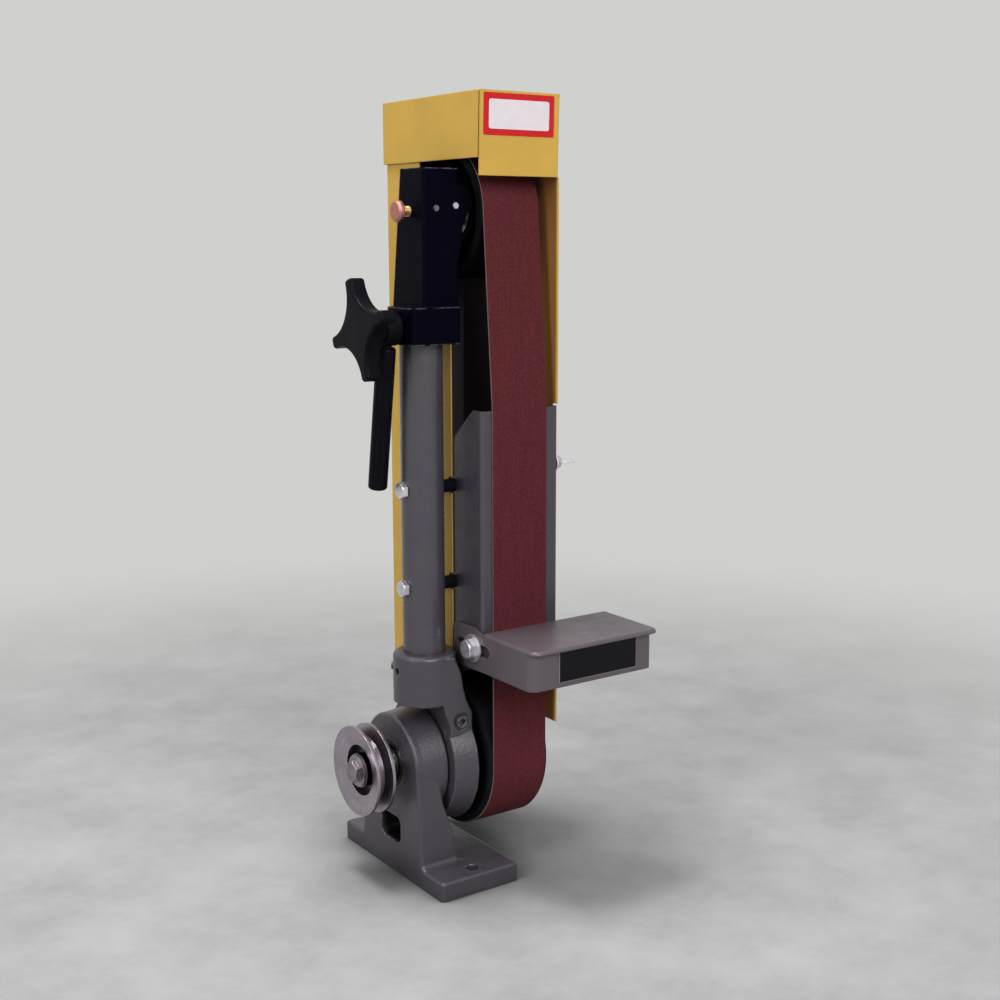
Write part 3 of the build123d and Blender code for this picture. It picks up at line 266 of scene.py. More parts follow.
def grain(tree, spot, scale, detail=4.0, rough=0.6):
    """Noise over a piece, about one lump in 1 / scale metres."""
    noise = tree.nodes.new("ShaderNodeTexNoise")
    noise.inputs["Scale"].default_value = scale
    noise.inputs["Detail"].default_value = detail
    noise.inputs["Roughness"].default_value = rough
    tree.links.new(spot, noise.inputs["Vector"])
    return noise.outputs["Fac"]


def spread(tree, value, low, high, to_low=0.0, to_high=1.0):
    """Stretch a value from one range to another, and hold it there."""
    span = tree.nodes.new("ShaderNodeMapRange")
    for socket, number in zip(list(span.inputs)[1:5], (low, high, to_low, to_high)):
        socket.default_value = number
    tree.links.new(value, span.inputs["Value"])
    return span.outputs["Result"]


def combine(tree, how, first, second):
    """One arithmetic step on two values."""
    step = tree.nodes.new("ShaderNodeMath")
    step.operation = how
    for socket, value in zip(step.inputs, (first, second)):
        if isinstance(value, (int, float)):
            socket.default_value = value
        else:
            tree.links.new(value, socket)
    return step.outputs[0]


def mixed(tree, amount, first, second):
    """Two colours, by an amount between 0 and 1."""
    mix = tree.nodes.new("ShaderNodeMix")
    mix.data_type = "RGBA"
    tree.links.new(amount, mix.inputs["Factor"])
    for socket, colour in ((mix.inputs[6], first), (mix.inputs[7], second)):
        if isinstance(colour, tuple):
            socket.default_value = (*colour, 1.0)
        else:
            tree.links.new(colour, socket)
    return mix.outputs[2]


print("tools for finishes: grain, spread, combine, mixed")

# %% Round edges and worn edges
OPEN_REACH = 0.004


def rounded(tree, shader, height, depth, radius):
    """Bump from a height, on edges that are rounded by a radius."""
    edge = tree.nodes.new("ShaderNodeBevel")
    edge.samples = 6
    edge.inputs["Radius"].default_value = radius
    bump = tree.nodes.new("ShaderNodeBump")
    bump.inputs["Distance"].default_value = depth
    tree.links.new(height, bump.inputs["Height"])
    tree.links.new(edge.outputs["Normal"], bump.inputs["Normal"])
    tree.links.new(bump.outputs["Normal"], shader.inputs["Normal"])


def rubbed_and_lit_edges(tree, spot, width, scale, rare):
    """1 on outer edges that hands and tools have rubbed, and on castings a painted highlight, 0 elsewhere.
    """
    edge = tree.nodes.new("ShaderNodeBevel")
    edge.samples = 6
    edge.inputs["Radius"].default_value = width
    flat = tree.nodes.new("ShaderNodeNewGeometry")
    turn = tree.nodes.new("ShaderNodeVectorMath")
    turn.operation = "DOT_PRODUCT"
    tree.links.new(edge.outputs["Normal"], turn.inputs[0])
    tree.links.new(flat.outputs["True Normal"], turn.inputs[1])
    open_air = tree.nodes.new("ShaderNodeAmbientOcclusion")
    open_air.samples = 4
    open_air.inputs["Distance"].default_value = OPEN_REACH
    outer = spread(tree, open_air.outputs["AO"], 0.72, 0.9)
    rim = combine(tree, "MULTIPLY", spread(tree, turn.outputs["Value"], 0.97, 0.8), outer)
    patch = spread(tree, grain(tree, spot, scale, 6.0, 0.7), rare, rare + 0.09)
    return combine(tree, "MULTIPLY", rim, patch)


def crevices(tree, reach):
    """1 deep in corners, 0 on open faces: for dust and oil, and for painted shade."""
    shade = tree.nodes.new("ShaderNodeAmbientOcclusion")
    shade.samples = 6
    shade.inputs["Distance"].default_value = reach
    return spread(tree, shade.outputs["AO"], 0.75, 0.25)


print("tools for edges: rounded, rubbed_and_lit_edges, crevices")

# %% [markdown]
# ## Grey enamel
# The castings, the tube and the bracket are sprayed with the same grey enamel. On the
# castings the sand mould still shows through the paint as a fine grain; on tube and sheet
# the paint only has the low ripple of a spray gun. An image of paint could be used, but two
# noises of different size give the same look at any distance. The paint is darker in the
# corners, partly from sanding dust and oil and partly as painted shade, and the wider nooks
# get painted shade. It is rubbed through on a few edges; on the castings these pale edges
# are partly painted highlight.

# %% Paint
CLOUDS, DULL_PATCHES, RUBBED_AND_LIT_PATCHES = 26.0, 90.0, 200.0
SAND, SPECKS, SPRAY = 420.0, 1400.0, 1500.0
CORNER, NOOK = 0.010, 0.045
SHADE_AND_GRIME_SHARE = (0.30, 0.20, 0.14)


def paint(name, colour, lumps, ripple, roughness, shine, bare, rare, radius=0.0008, rubbed=0.0011):
    """Sprayed paint: lumps, ripple are its depths; rare, rubbed place rubbed edges and painted highlight.
    """
    finish, tree, shader, spot = new_finish(name, roughness)
    shader.inputs["Specular IOR Level"].default_value = shine
    dark = tuple(part * 0.91 for part in colour)
    pale = tuple(min(1.0, part * 1.07) for part in colour)
    cloud = spread(tree, grain(tree, spot, CLOUDS, 5.0, 0.62), 0.32, 0.68)
    speck = spread(tree, grain(tree, spot, SPECKS, 3.0, 0.6), 0.3, 0.7)
    tone = combine(tree, "ADD", combine(tree, "MULTIPLY", cloud, 0.6),
                   combine(tree, "MULTIPLY", speck, 0.4))
    coat = mixed(tree, tone, dark, pale)
    # corners darken partly with dust and oil and partly as painted shade; the wider nooks are painted shade
    corners = combine(tree, "MULTIPLY", crevices(tree, CORNER), 0.5)
    nooks = combine(tree, "MULTIPLY", crevices(tree, NOOK), 0.3)
    shade_and_grime = tuple(part * share for part, share in zip(colour, SHADE_AND_GRIME_SHARE))
    shaded_and_grimed = mixed(tree, combine(tree, "MAXIMUM", corners, nooks), coat, shade_and_grime)
    worn_and_lit = rubbed_and_lit_edges(tree, spot, rubbed, RUBBED_AND_LIT_PATCHES, rare)
    tree.links.new(mixed(tree, worn_and_lit, shaded_and_grimed, bare), shader.inputs["Base Color"])
    patches = grain(tree, spot, DULL_PATCHES, 5.0, 0.65)
    dull = spread(tree, patches, 0.3, 0.7, roughness - 0.07, roughness + 0.1)
    tree.links.new(dull, shader.inputs["Roughness"])
    sand = combine(tree, "MULTIPLY", grain(tree, spot, SAND, 4.0, 0.65), lumps)
    spray = combine(tree, "MULTIPLY", grain(tree, spot, SPRAY, 2.0, 0.5), ripple)
    rounded(tree, shader, combine(tree, "ADD", sand, spray), depth=0.001, radius=radius)
    return finish


def wear_finish(finish, *names):
    """Put a finish on CAD nodes."""
    for name in names:
        for place in node[name].material_slots:
            place.material = finish
    print(finish.name, "on", ", ".join(names))


GREY = (0.056, 0.049, 0.063)
BARE_AND_LIT_STEEL = (0.36, 0.35, 0.34)
MILL_SCALE = (0.010, 0.009, 0.011)
# on the castings the pale edges are partly rubbed paint and partly painted highlight
grey_cast = paint("grey_cast_enamel", GREY, lumps=0.30, ripple=0.05, roughness=0.32, shine=0.50,
                  bare=BARE_AND_LIT_STEEL, rare=0.50, radius=0.0010, rubbed=0.0020)
grey_sheet = paint("grey_sheet_enamel", GREY, lumps=0.04, ripple=0.05, roughness=0.30, shine=0.50,
                   bare=MILL_SCALE, rare=0.52)
grey_tube = paint("grey_tube_enamel", GREY, lumps=0.03, ripple=0.05, roughness=0.27, shine=0.60,
                  bare=BARE_AND_LIT_STEEL, rare=0.80)
wear_finish(grey_cast, "arm_casting", "arm_clamp_screw", "collar_set_screws")
wear_finish(grey_sheet, "platen_bracket")
wear_finish(grey_tube, "column_tube")

# %% [markdown]
# ## The table's paint
# The table's grey is paler than the castings', and a little red. It could be their finish with
# a tint over it, but the same function with its own colour and a shallower grain is plainer.

# %% Table enamel
TABLE_GREY = (0.099, 0.080, 0.094)
table_grey = paint("grey_table_enamel", TABLE_GREY, lumps=0.08, ripple=0.06, roughness=0.36, shine=0.45,
                   bare=BARE_AND_LIT_STEEL, rare=0.58, radius=0.001)
wear_finish(table_grey, "work_table")

# %% [markdown]
# ## Yellow enamel
# Guard and cap are folded sheet in a warm yellow. Inside the guard the same paint is darkened
# by painted shade: brown and light near the front edges, grey and deep at the back. A second
# material on the inner faces would need the mesh to be cut up, so one material asks each point
# how deep inside the guard it lies.

# %% Yellow with painted shade inside
YELLOW = (0.64, 0.40, 0.078)
RUBBED_YELLOW = (0.30, 0.24, 0.14)
BROWN_PAINTED_SHADE = (0.225, 0.075, 0.029)
GREY_PAINTED_SHADE = (0.150, 0.118, 0.152)


def deep_inside(tree, spot, low, high, soft):
    """1 inside a box, 0 outside it, with a soft border."""
    parts = tree.nodes.new("ShaderNodeSeparateXYZ")
    tree.links.new(spot, parts.inputs[0])
    depth = None
    for axis in range(3):
        here = parts.outputs[axis]
        rise = spread(tree, here, low[axis], low[axis] + soft[axis])
        fall = spread(tree, here, high[axis], high[axis] - soft[axis])
        both = combine(tree, "MULTIPLY", rise, fall)
        depth = both if depth is None else combine(tree, "MULTIPLY", depth, both)
    return depth


yellow_sheet = paint("yellow_sheet_enamel", YELLOW, lumps=0.04, ripple=0.05, roughness=0.42, shine=0.2,
                     bare=RUBBED_YELLOW, rare=0.66)
inside_low, inside_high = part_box("guard_body")
cap_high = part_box("guard_cap")[1]
INSIDE = 0.0006
FRONT_LIP = 0.0014
SOFT = (0.0004, 0.0004, 0.0004)
LIGHT_SHADE_TO, DEEP_SHADE_FROM = 0.025, 0.06
SHADE_CLOUDS, CLOUD_SHIFT = 45.0, 0.02
shaded_inside = yellow_sheet.copy()
shaded_inside.name = "yellow_sheet_shaded_inside"
shaded_tree = shaded_inside.node_tree
shaded_shader = shaded_tree.nodes["Principled BSDF"]
shaded_spot = shaded_tree.nodes.new("ShaderNodeTexCoord").outputs["Object"]
# painted shade inside the guard: brown near the front lip, grey and heavier further back
inner_face = deep_inside(
    shaded_tree, shaded_spot, (inside_low.x + INSIDE, inside_low.y + FRONT_LIP, 0.0),
    (inside_high.x - INSIDE, inside_high.y - INSIDE, cap_high.z - INSIDE), SOFT)
shaded_parts = shaded_tree.nodes.new("ShaderNodeSeparateXYZ")
shaded_tree.links.new(shaded_spot, shaded_parts.inputs[0])
cloudy = combine(shaded_tree, "MULTIPLY", grain(shaded_tree, shaded_spot, SHADE_CLOUDS, 6.0, 0.7), CLOUD_SHIFT)
behind = combine(shaded_tree, "ADD", shaded_parts.outputs["Y"], cloudy)
far_in = spread(shaded_tree, behind, inside_low.y + LIGHT_SHADE_TO, inside_low.y + DEEP_SHADE_FROM)
# the colour of the painted shade, brown near the front and grey further in
dust = mixed(shaded_tree, far_in, BROWN_PAINTED_SHADE, GREY_PAINTED_SHADE)
clean_coat = shaded_shader.inputs["Base Color"].links[0].from_socket
shade_depth = spread(shaded_tree, far_in, 0.0, 1.0, 0.82, 0.97)
shade_cover = combine(shaded_tree, "MULTIPLY", inner_face, shade_depth)
shaded_tree.links.new(mixed(shaded_tree, shade_cover, clean_coat, dust), shaded_shader.inputs["Base Color"])
wear_finish(shaded_inside, "guard_body", "guard_cap")

# %% [markdown]
# ## The window in the foot casting
# The window under the shaft is nearly black: its inside is painted shade. A face or two
# could have a material of their own, but the border would be hard. So it is the casting's
# grey enamel again, with painted shade inside a box as large as the window.

# %% Painted shade in the window
foot_low, foot_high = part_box("base_casting")
WINDOW_HALF = 0.0154
WINDOW_LOW_Z = 0.0256
WINDOW_HIGH_Z = 0.0484
WINDOW_LIP = 0.0012
WINDOW_SOFT = (0.003, 0.0002, 0.0002)
WINDOW_SHADE = (0.0045, 0.0038, 0.0055)
foot_cast = grey_cast.copy()
foot_cast.name = "grey_cast_shaded_window"
foot_tree = foot_cast.node_tree
foot_shader = foot_tree.nodes["Principled BSDF"]
foot_spot = foot_tree.nodes.new("ShaderNodeTexCoord").outputs["Object"]
# painted shade inside the window
painted_window_shade = deep_inside(
    foot_tree, foot_spot, (foot_low.x + WINDOW_LIP, -WINDOW_HALF, WINDOW_LOW_Z),
    (foot_high.x, WINDOW_HALF, WINDOW_HIGH_Z), WINDOW_SOFT)
foot_coat = foot_shader.inputs["Base Color"].links[0].from_socket
foot_tree.links.new(mixed(foot_tree, painted_window_shade, foot_coat, WINDOW_SHADE), foot_shader.inputs["Base Color"])
wear_finish(foot_cast, "base_casting")

# %% [markdown]
# ## Black pieces
# The upper arm is a casting in gloss black: the paint is thick, with soft edges, and its
# front edge is pale, partly rubbed bright and partly painted highlight. The star knob and
# the lever's grip are moulded in a duller black, and the wheels are black paint with a
# rubber tyre on the driven one. One black could do for all of them, but they would look
# like one piece: paint keeps the rubbed edges of the grey enamel, and what is moulded has
# only a fine even grain.

# %% Black finishes
BLACK = (0.0014, 0.0012, 0.0052)
WHEEL_BLACK = (0.005, 0.005, 0.007)
RUBBED_AND_LIT_BLACK = (0.17, 0.16, 0.19)
# the arm's pale edges are partly rubbed paint and partly painted highlight
black_cast = paint("black_gloss_enamel", BLACK, lumps=0.22, ripple=0.05, roughness=0.32, shine=0.025,
                   bare=RUBBED_AND_LIT_BLACK, rare=0.45, radius=0.001, rubbed=0.0022)
black_wheel = paint("black_wheel_enamel", WHEEL_BLACK, lumps=0.05, ripple=0.04, roughness=0.42, shine=0.04,
                    bare=BARE_AND_LIT_STEEL, rare=0.66)
wear_finish(black_cast, "upper_arm")
wear_finish(black_wheel, "drive_wheel", "idler_wheel", "bracket_spacers", "axle_carrier")

PALE_DUST = (0.022, 0.019, 0.021)
DUST_REACH = 0.006
SMEARS, FINE_SMEARS, MOULD_GRAIN = 60.0, 260.0, 2200.0


def moulded(name, colour, roughness):
    """Moulded plastic or rubber: a fine even grain, no bare edges, a little dust."""
    finish, tree, shader, spot = new_finish(name, roughness)
    shader.inputs["Specular IOR Level"].default_value = 0.05
    cloud = spread(tree, grain(tree, spot, SMEARS, 5.0, 0.65), 0.35, 0.65)
    skin = mixed(tree, cloud, colour, tuple(part * 1.35 + 0.002 for part in colour))
    dusted = combine(tree, "MULTIPLY", crevices(tree, DUST_REACH), 0.35)
    tree.links.new(mixed(tree, dusted, skin, PALE_DUST), shader.inputs["Base Color"])
    smeared = grain(tree, spot, FINE_SMEARS, 4.0, 0.6)
    dull = spread(tree, smeared, 0.3, 0.7, roughness - 0.06, roughness + 0.08)
    tree.links.new(dull, shader.inputs["Roughness"])
    rounded(tree, shader, grain(tree, spot, MOULD_GRAIN, 2.0, 0.5), depth=0.00006, radius=0.0006)
    return finish


black_plastic = moulded("black_moulded_plastic", colour=(0.0026, 0.0021, 0.0044), roughness=0.36)
tyre_rubber = moulded("black_tyre_rubber", colour=(0.008, 0.007, 0.009), roughness=0.66)
wear_finish(black_plastic, "clamp_knob", "tension_lever", "lever_grip")
wear_finish(tyre_rubber, "drive_wheel_tyre")

# %% [markdown]
# ## Bare metal
# Bolts and nuts are zinc plated: pale, a little blue, and clouded with age. Shafts, pins and
# the idler's bearings are plain ground steel, the bearings in the foot are blackened, the
# tracking screw is brass with a copper head, and the pulley's end screw is worn. A metal could
# be one colour that mirrors its surroundings, but tarnish in clouds and an uneven polish are
# what make it look used.

# %% Plated and ground metal
TARNISH, UNEVEN_POLISH, PLATE_GRAIN = 130.0, 320.0, 900.0


def plated(name, roughness, colour, stain):
    """Plated or ground metal with clouds of tarnish."""
    finish, tree, shader, spot = new_finish(name, roughness, 1.0)
    cloud = spread(tree, grain(tree, spot, TARNISH, 6.0, 0.7), 0.38, 0.7)
    tree.links.new(mixed(tree, cloud, colour, stain), shader.inputs["Base Color"])
    patches = grain(tree, spot, UNEVEN_POLISH, 5.0, 0.65)
    dull = spread(tree, patches, 0.3, 0.7, roughness - 0.08, roughness + 0.14)
    tree.links.new(dull, shader.inputs["Roughness"])
    rounded(tree, shader, grain(tree, spot, PLATE_GRAIN, 3.0, 0.6), depth=0.00005, radius=0.0005)
    return finish


zinc = plated("zinc_plate", 0.40, colour=(0.78, 0.77, 0.82), stain=(0.54, 0.52, 0.56))
ground_steel = plated("ground_steel", 0.28, colour=(0.52, 0.51, 0.50), stain=(0.33, 0.31, 0.29))
dark_steel = plated("blackened_steel", 0.42, colour=(0.085, 0.082, 0.088), stain=(0.045, 0.042, 0.043))
brass = plated("brass_thread", 0.32, colour=(0.70, 0.50, 0.22), stain=(0.40, 0.25, 0.10))
copper = plated("copper_head", 0.42, colour=(0.60, 0.26, 0.225), stain=(0.42, 0.175, 0.15))
worn_steel = plated("worn_steel", 0.36, colour=(0.34, 0.31, 0.33), stain=(0.17, 0.15, 0.16))
wear_finish(zinc, "bracket_bolts", "bracket_nuts", "wing_nut", "wing_washer", "guard_stud", "table_bolt",
            "table_washer", "table_nut", "axle_nut", "axle_washer", "wheel_nut", "wheel_washer")
wear_finish(ground_steel, "drive_shaft", "idler_axle", "idler_bearing_inner_rings",
            "idler_bearing_outer_rings", "idler_bearing_balls", "axle_sleeves", "pivot_pin", "spring_seat",
            "clamp_stud")
wear_finish(dark_steel, "pulley_set_screw", "shaft_bearing_inner_rings", "shaft_bearing_outer_rings",
            "shaft_bearing_balls")
wear_finish(worn_steel, "pulley_end_screw", "pulley_end_washer")
wear_finish(copper, "tracking_knob")

# %% [markdown]
# ## Gib screws
# Two small screws end flush in the front of the upper arm. The left one is dull and dark, the
# right one is bright. They are one CAD node, so two materials would need it to be split. The
# zinc plate is copied instead, and darkens from right to left.

# %% Dull and bright screw ends
DULL_END = (0.03, 0.03, 0.035)
gib_low, gib_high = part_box("gib_screws")
gib_finish = zinc.copy()
gib_finish.name = "gib_screw_ends"
gib_tree = gib_finish.node_tree
gib_shader = gib_tree.nodes["Principled BSDF"]
gib_spot = gib_tree.nodes.new("ShaderNodeSeparateXYZ")
gib_tree.links.new(gib_tree.nodes.new("ShaderNodeTexCoord").outputs["Object"], gib_spot.inputs[0])
# the screw ends darken from right to left
gib_brightness = spread(gib_tree, gib_spot.outputs["X"], gib_low.x, gib_high.x, 0.1, 1.0)
gib_bright = gib_shader.inputs["Base Color"].links[0].from_socket
gib_tree.links.new(mixed(gib_tree, gib_brightness, DULL_END, gib_bright), gib_shader.inputs["Base Color"])
wear_finish(gib_finish, "gib_screws")

# %% [markdown]
# ## The turned pulley
# The pulley was turned on a lathe, so fine rings run round its axis, and light spreads across
# them into two bright fans. The rings could be cut into the mesh, but they are finer than any
# sensible mesh: a noise that only reads the distance from the axis draws them, and an
# anisotropic shader with a tangent round the same axis makes the fans.

# %% Turned steel
OLD_OIL = (0.035, 0.032, 0.034)
OIL_REACH = 0.012
LATHE_RINGS, BROAD_RINGS, OIL_STAINS = 2600.0, 420.0, 70.0


def turned_metal(name, colour, roughness, axis_at):
    """Lathe-turned metal: fine rings about an axis along X."""
    finish, tree, shader, spot = new_finish(name, roughness, 1.0)
    shader.inputs["Anisotropic"].default_value = 0.7
    along = tree.nodes.new("ShaderNodeTangent")
    along.direction_type = "RADIAL"
    along.axis = "X"
    tree.links.new(along.outputs["Tangent"], shader.inputs["Tangent"])
    parts = tree.nodes.new("ShaderNodeSeparateXYZ")
    tree.links.new(spot, parts.inputs[0])
    side = combine(tree, "SUBTRACT", parts.outputs["Y"], axis_at.y)
    rise = combine(tree, "SUBTRACT", parts.outputs["Z"], axis_at.z)
    squares = [combine(tree, "MULTIPLY", part, part) for part in (side, rise)]
    around = combine(tree, "SQRT", combine(tree, "ADD", *squares), 0.0)
    cut = tree.nodes.new("ShaderNodeCombineXYZ")
    tree.links.new(around, cut.inputs["X"])
    tree.links.new(parts.outputs["X"], cut.inputs["Y"])
    rings = grain(tree, cut.outputs[0], LATHE_RINGS, 3.0, 0.7)
    broad = grain(tree, cut.outputs[0], BROAD_RINGS, 2.0, 0.5)
    stain = spread(tree, grain(tree, spot, OIL_STAINS, 6.0, 0.7), 0.4, 0.7)
    bright = mixed(tree, spread(tree, rings, 0.3, 0.7), tuple(part * 0.72 for part in colour), colour)
    half_stain = combine(tree, "MULTIPLY", stain, 0.5)
    oiled = mixed(tree, half_stain, bright, tuple(part * 0.5 for part in colour))
    deep = crevices(tree, OIL_REACH)
    tree.links.new(mixed(tree, deep, oiled, OLD_OIL), shader.inputs["Base Color"])
    dull = spread(tree, rings, 0.3, 0.7, roughness - 0.06, roughness + 0.12)
    tree.links.new(dull, shader.inputs["Roughness"])
    height = combine(tree, "ADD", rings, combine(tree, "MULTIPLY", broad, 1.6))
    rounded(tree, shader, height, depth=0.00006, radius=0.0005)
    return finish


pulley_low, pulley_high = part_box("v_pulley")
pulley_at = (pulley_low + pulley_high) / 2
turned_steel = turned_metal("turned_steel", colour=(0.47, 0.41, 0.47), roughness=0.26, axis_at=pulley_at)
wear_finish(turned_steel, "v_pulley")

# %% [markdown]
# ## The abrasive belt
# The belt is a strip of cloth with dark red grit on its outer face. It runs up the platen,
# over the idler, down the back and round the driven wheel. It is modelled by drawing its
# path with one edge as wide as the belt: straight runs are extruded, and the turns round
# the wheels are spun about the wheels' own axes. It is made as two pieces, an upper half
# round the idler and a lower half round the driven wheel, which meet at one height.

# %% Where the belt runs
tyre_low, tyre_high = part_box("drive_wheel_tyre")
idler_low, idler_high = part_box("idler_wheel")
belt_low, belt_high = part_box("abrasive_belt")
platen_low, platen_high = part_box("platen_bracket")
RUN_GAP = 0.0003
wheel_at = (tyre_low + tyre_high) / 2
idler_at = (idler_low + idler_high) / 2
wheel_turn = (tyre_high.z - tyre_low.z) / 2 + RUN_GAP
idler_turn = (idler_high.z - idler_low.z) / 2 + RUN_GAP
PLATEN_LIP = 0.003
MEET_Z = 0.45
bend_at = Vector((belt_low.x, platen_low.y - RUN_GAP, platen_high.z - PLATEN_LIP))

to_idler = Vector((idler_at.y - bend_at.y, idler_at.z - bend_at.z))
front_lean = math.atan2(to_idler.x, to_idler.y) - math.asin(idler_turn / to_idler.length)
between = Vector((idler_at.y - wheel_at.y, idler_at.z - wheel_at.z))
rear_lean = math.asin((wheel_turn - idler_turn) / between.length) - math.atan2(between.x, between.y)
front_top = idler_at.yz + idler_turn * Vector((-math.cos(front_lean), math.sin(front_lean)))
rear_top = idler_at.yz + idler_turn * Vector((math.cos(rear_lean), math.sin(rear_lean)))
rear_low = wheel_at.yz + wheel_turn * Vector((math.cos(rear_lean), math.sin(rear_lean)))
print("belt leans", round(math.degrees(front_lean), 2), "and", round(math.degrees(rear_lean), 2), "degrees")


# %% Runs and turns
def at_height(low, high, z):
    """The point of a straight run at a height."""
    return low.lerp(high, (z - low.y) / (high.y - low.y))


def belt_edge(bm, at):
    """The first edge of a strip, across the belt."""
    ends = [bm.verts.new((x, at.x, at.y)) for x in (belt_low.x, belt_high.x)]
    return bm.edges.new(ends)


def straight_run(bm, edge, to, steps):
    """Carry the strip's last edge straight to a point of its path."""
    here = edge.verts[0].co.yz
    for _ in range(steps):
        grown = bmesh.ops.extrude_edge_only(bm, edges=[edge])["geom"]
        ends = [item for item in grown if isinstance(item, bmesh.types.BMVert)]
        bmesh.ops.translate(bm, verts=ends, vec=(0, *((to - here) / steps)))
        edge = next(item for item in grown if isinstance(item, bmesh.types.BMEdge))
    return edge


def wheel_run(bm, edge, centre, angle, steps):
    """Carry the strip's last edge round a wheel."""
    spun = bmesh.ops.spin(
        bm, geom=[edge, *edge.verts], cent=centre, axis=(1, 0, 0), angle=angle, steps=steps,
        use_merge=False)
    return next(item for item in spun["geom_last"] if isinstance(item, bmesh.types.BMEdge))


front_meet = at_height(bend_at.yz, front_top, MEET_Z)
rear_meet = at_height(rear_low, rear_top, MEET_Z)
upper_bm = bmesh.new()
upper_edge = straight_run(upper_bm, belt_edge(upper_bm, front_meet), front_top, steps=10)
over_top = math.pi - front_lean - rear_lean
upper_edge = wheel_run(upper_bm, upper_edge, (0, idler_at.y, idler_at.z), -over_top, steps=72)
upper_edge = straight_run(upper_bm, upper_edge, rear_meet, steps=10)

lower_bm = bmesh.new()
lower_edge = straight_run(lower_bm, belt_edge(lower_bm, rear_meet), rear_low, steps=24)
under_wheel = math.pi + rear_lean
lower_edge = wheel_run(lower_bm, lower_edge, (0, wheel_at.y, wheel_at.z), -under_wheel, steps=84)
lower_edge = straight_run(lower_bm, lower_edge, bend_at.yz, steps=18)
lower_edge = straight_run(lower_bm, lower_edge, front_meet, steps=8)
print("belt strips:", len(upper_bm.faces), "and", len(lower_bm.faces), "faces")

# %% [markdown]
# ### Grit, cloth and cut edges
# The outer face is grit in resin: dark red grains a few tenths of a millimetre across, with
# lengthwise streaks where work has rubbed it. The inner face is dark cloth, and the cut
# edges show the pale threads of the backing. Cells of a Voronoi texture are the natural
# choice for grains, since every cell can have its own height and shade.

# %% Belt materials
DARK_GRAIN, PALE_GRAIN = (0.080, 0.0150, 0.0175), (0.140, 0.0300, 0.0345)
RUBBED_GRAIN, GLINT = (0.058, 0.0145, 0.0170), (0.20, 0.09, 0.09)
GRIT_CELLS, STREAKS, FLUFF, THREADS = 1900.0, 330.0, 700.0, 9000.0


def grit_face():
    """Dark red abrasive grains, with streaks along the belt."""
    finish, tree, shader, spot = new_finish("maroon_grit", 0.82)
    shader.inputs["Specular IOR Level"].default_value = 0.06
    cells = tree.nodes.new("ShaderNodeTexVoronoi")
    cells.inputs["Scale"].default_value = GRIT_CELLS
    tree.links.new(spot, cells.inputs["Vector"])
    parts = tree.nodes.new("ShaderNodeSeparateXYZ")
    tree.links.new(spot, parts.inputs[0])
    across = tree.nodes.new("ShaderNodeCombineXYZ")
    tree.links.new(parts.outputs["X"], across.inputs["X"])
    tree.links.new(combine(tree, "MULTIPLY", parts.outputs["Z"], 0.06), across.inputs["Y"])
    streak = spread(tree, grain(tree, across.outputs[0], STREAKS, 4.0, 0.6), 0.35, 0.7)
    shade = tree.nodes.new("ShaderNodeSeparateColor")
    tree.links.new(cells.outputs["Color"], shade.inputs[0])
    grains = mixed(tree, shade.outputs[0], DARK_GRAIN, PALE_GRAIN)
    rubbed = mixed(tree, combine(tree, "MULTIPLY", streak, 0.35), grains, RUBBED_GRAIN)
    glint = combine(tree, "MULTIPLY", spread(tree, shade.outputs[1], 0.975, 0.99), 0.4)
    tree.links.new(mixed(tree, glint, rubbed, GLINT), shader.inputs["Base Color"])
    bump = tree.nodes.new("ShaderNodeBump")
    bump.invert = True
    bump.inputs["Distance"].default_value = 0.00022
    tree.links.new(cells.outputs["Distance"], bump.inputs["Height"])
    tree.links.new(bump.outputs["Normal"], shader.inputs["Normal"])
    return finish


def backing_cloth(name, colour, pale):
    """Woven backing: threads across and along, with a little fluff."""
    finish, tree, shader, spot = new_finish(name, 0.85)
    parts = tree.nodes.new("ShaderNodeSeparateXYZ")
    tree.links.new(spot, parts.inputs[0])
    warp = combine(tree, "SINE", combine(tree, "MULTIPLY", parts.outputs["X"], THREADS), 0.0)
    weft = combine(tree, "SINE", combine(tree, "MULTIPLY", parts.outputs["Z"], THREADS), 0.0)
    weave = combine(tree, "MULTIPLY", warp, weft)
    fluff = grain(tree, spot, FLUFF, 5.0, 0.7)
    tone = combine(tree, "ADD", combine(tree, "MULTIPLY", weave, 0.25), fluff)
    tree.links.new(mixed(tree, spread(tree, tone, 0.2, 0.9), colour, pale), shader.inputs["Base Color"])
    bump = tree.nodes.new("ShaderNodeBump")
    bump.inputs["Distance"].default_value = 0.00012
    tree.links.new(weave, bump.inputs["Height"])
    tree.links.new(bump.outputs["Normal"], shader.inputs["Normal"])
    return finish


belt_finishes = (
    grit_face(),
    backing_cloth("dark_backing_cloth", colour=(0.060, 0.052, 0.062), pale=(0.115, 0.098, 0.112)),
    backing_cloth("cut_belt_edge", colour=(0.125, 0.082, 0.078), pale=(0.26, 0.20, 0.19)))
print("belt finishes:", [finish.name for finish in belt_finishes])

# %% [markdown]
# ### From a strip to a belt
# A strip has no thickness yet. A solidify modifier could give it one, but the operator does
# it at once, and then each face can be asked which way it looks: outwards is grit, inwards is
# cloth, and to the side is a cut edge. Edges that turn sharply stay crisp.

# %% Give the strips their thickness
BELT_THICK = 0.0012
CRISP_EDGE = 0.6


def new_piece(bm, name, *finishes):
    """Turn a finished bmesh into an object at the origin."""
    mesh = bpy.data.meshes.new(name)
    bm.to_mesh(mesh)
    bm.free()
    for finish in finishes:
        mesh.materials.append(finish)
    piece = bpy.data.objects.new(name, mesh)
    bpy.context.scene.collection.objects.link(piece)
    return piece


def smooth_faces(bm, sharp):
    """Shade all faces smoothly, and keep edges crisp that turn by more than an angle."""
    for face in bm.faces:
        face.smooth = True
    for edge in bm.edges:
        edge.smooth = edge.calc_face_angle(0.0) < sharp


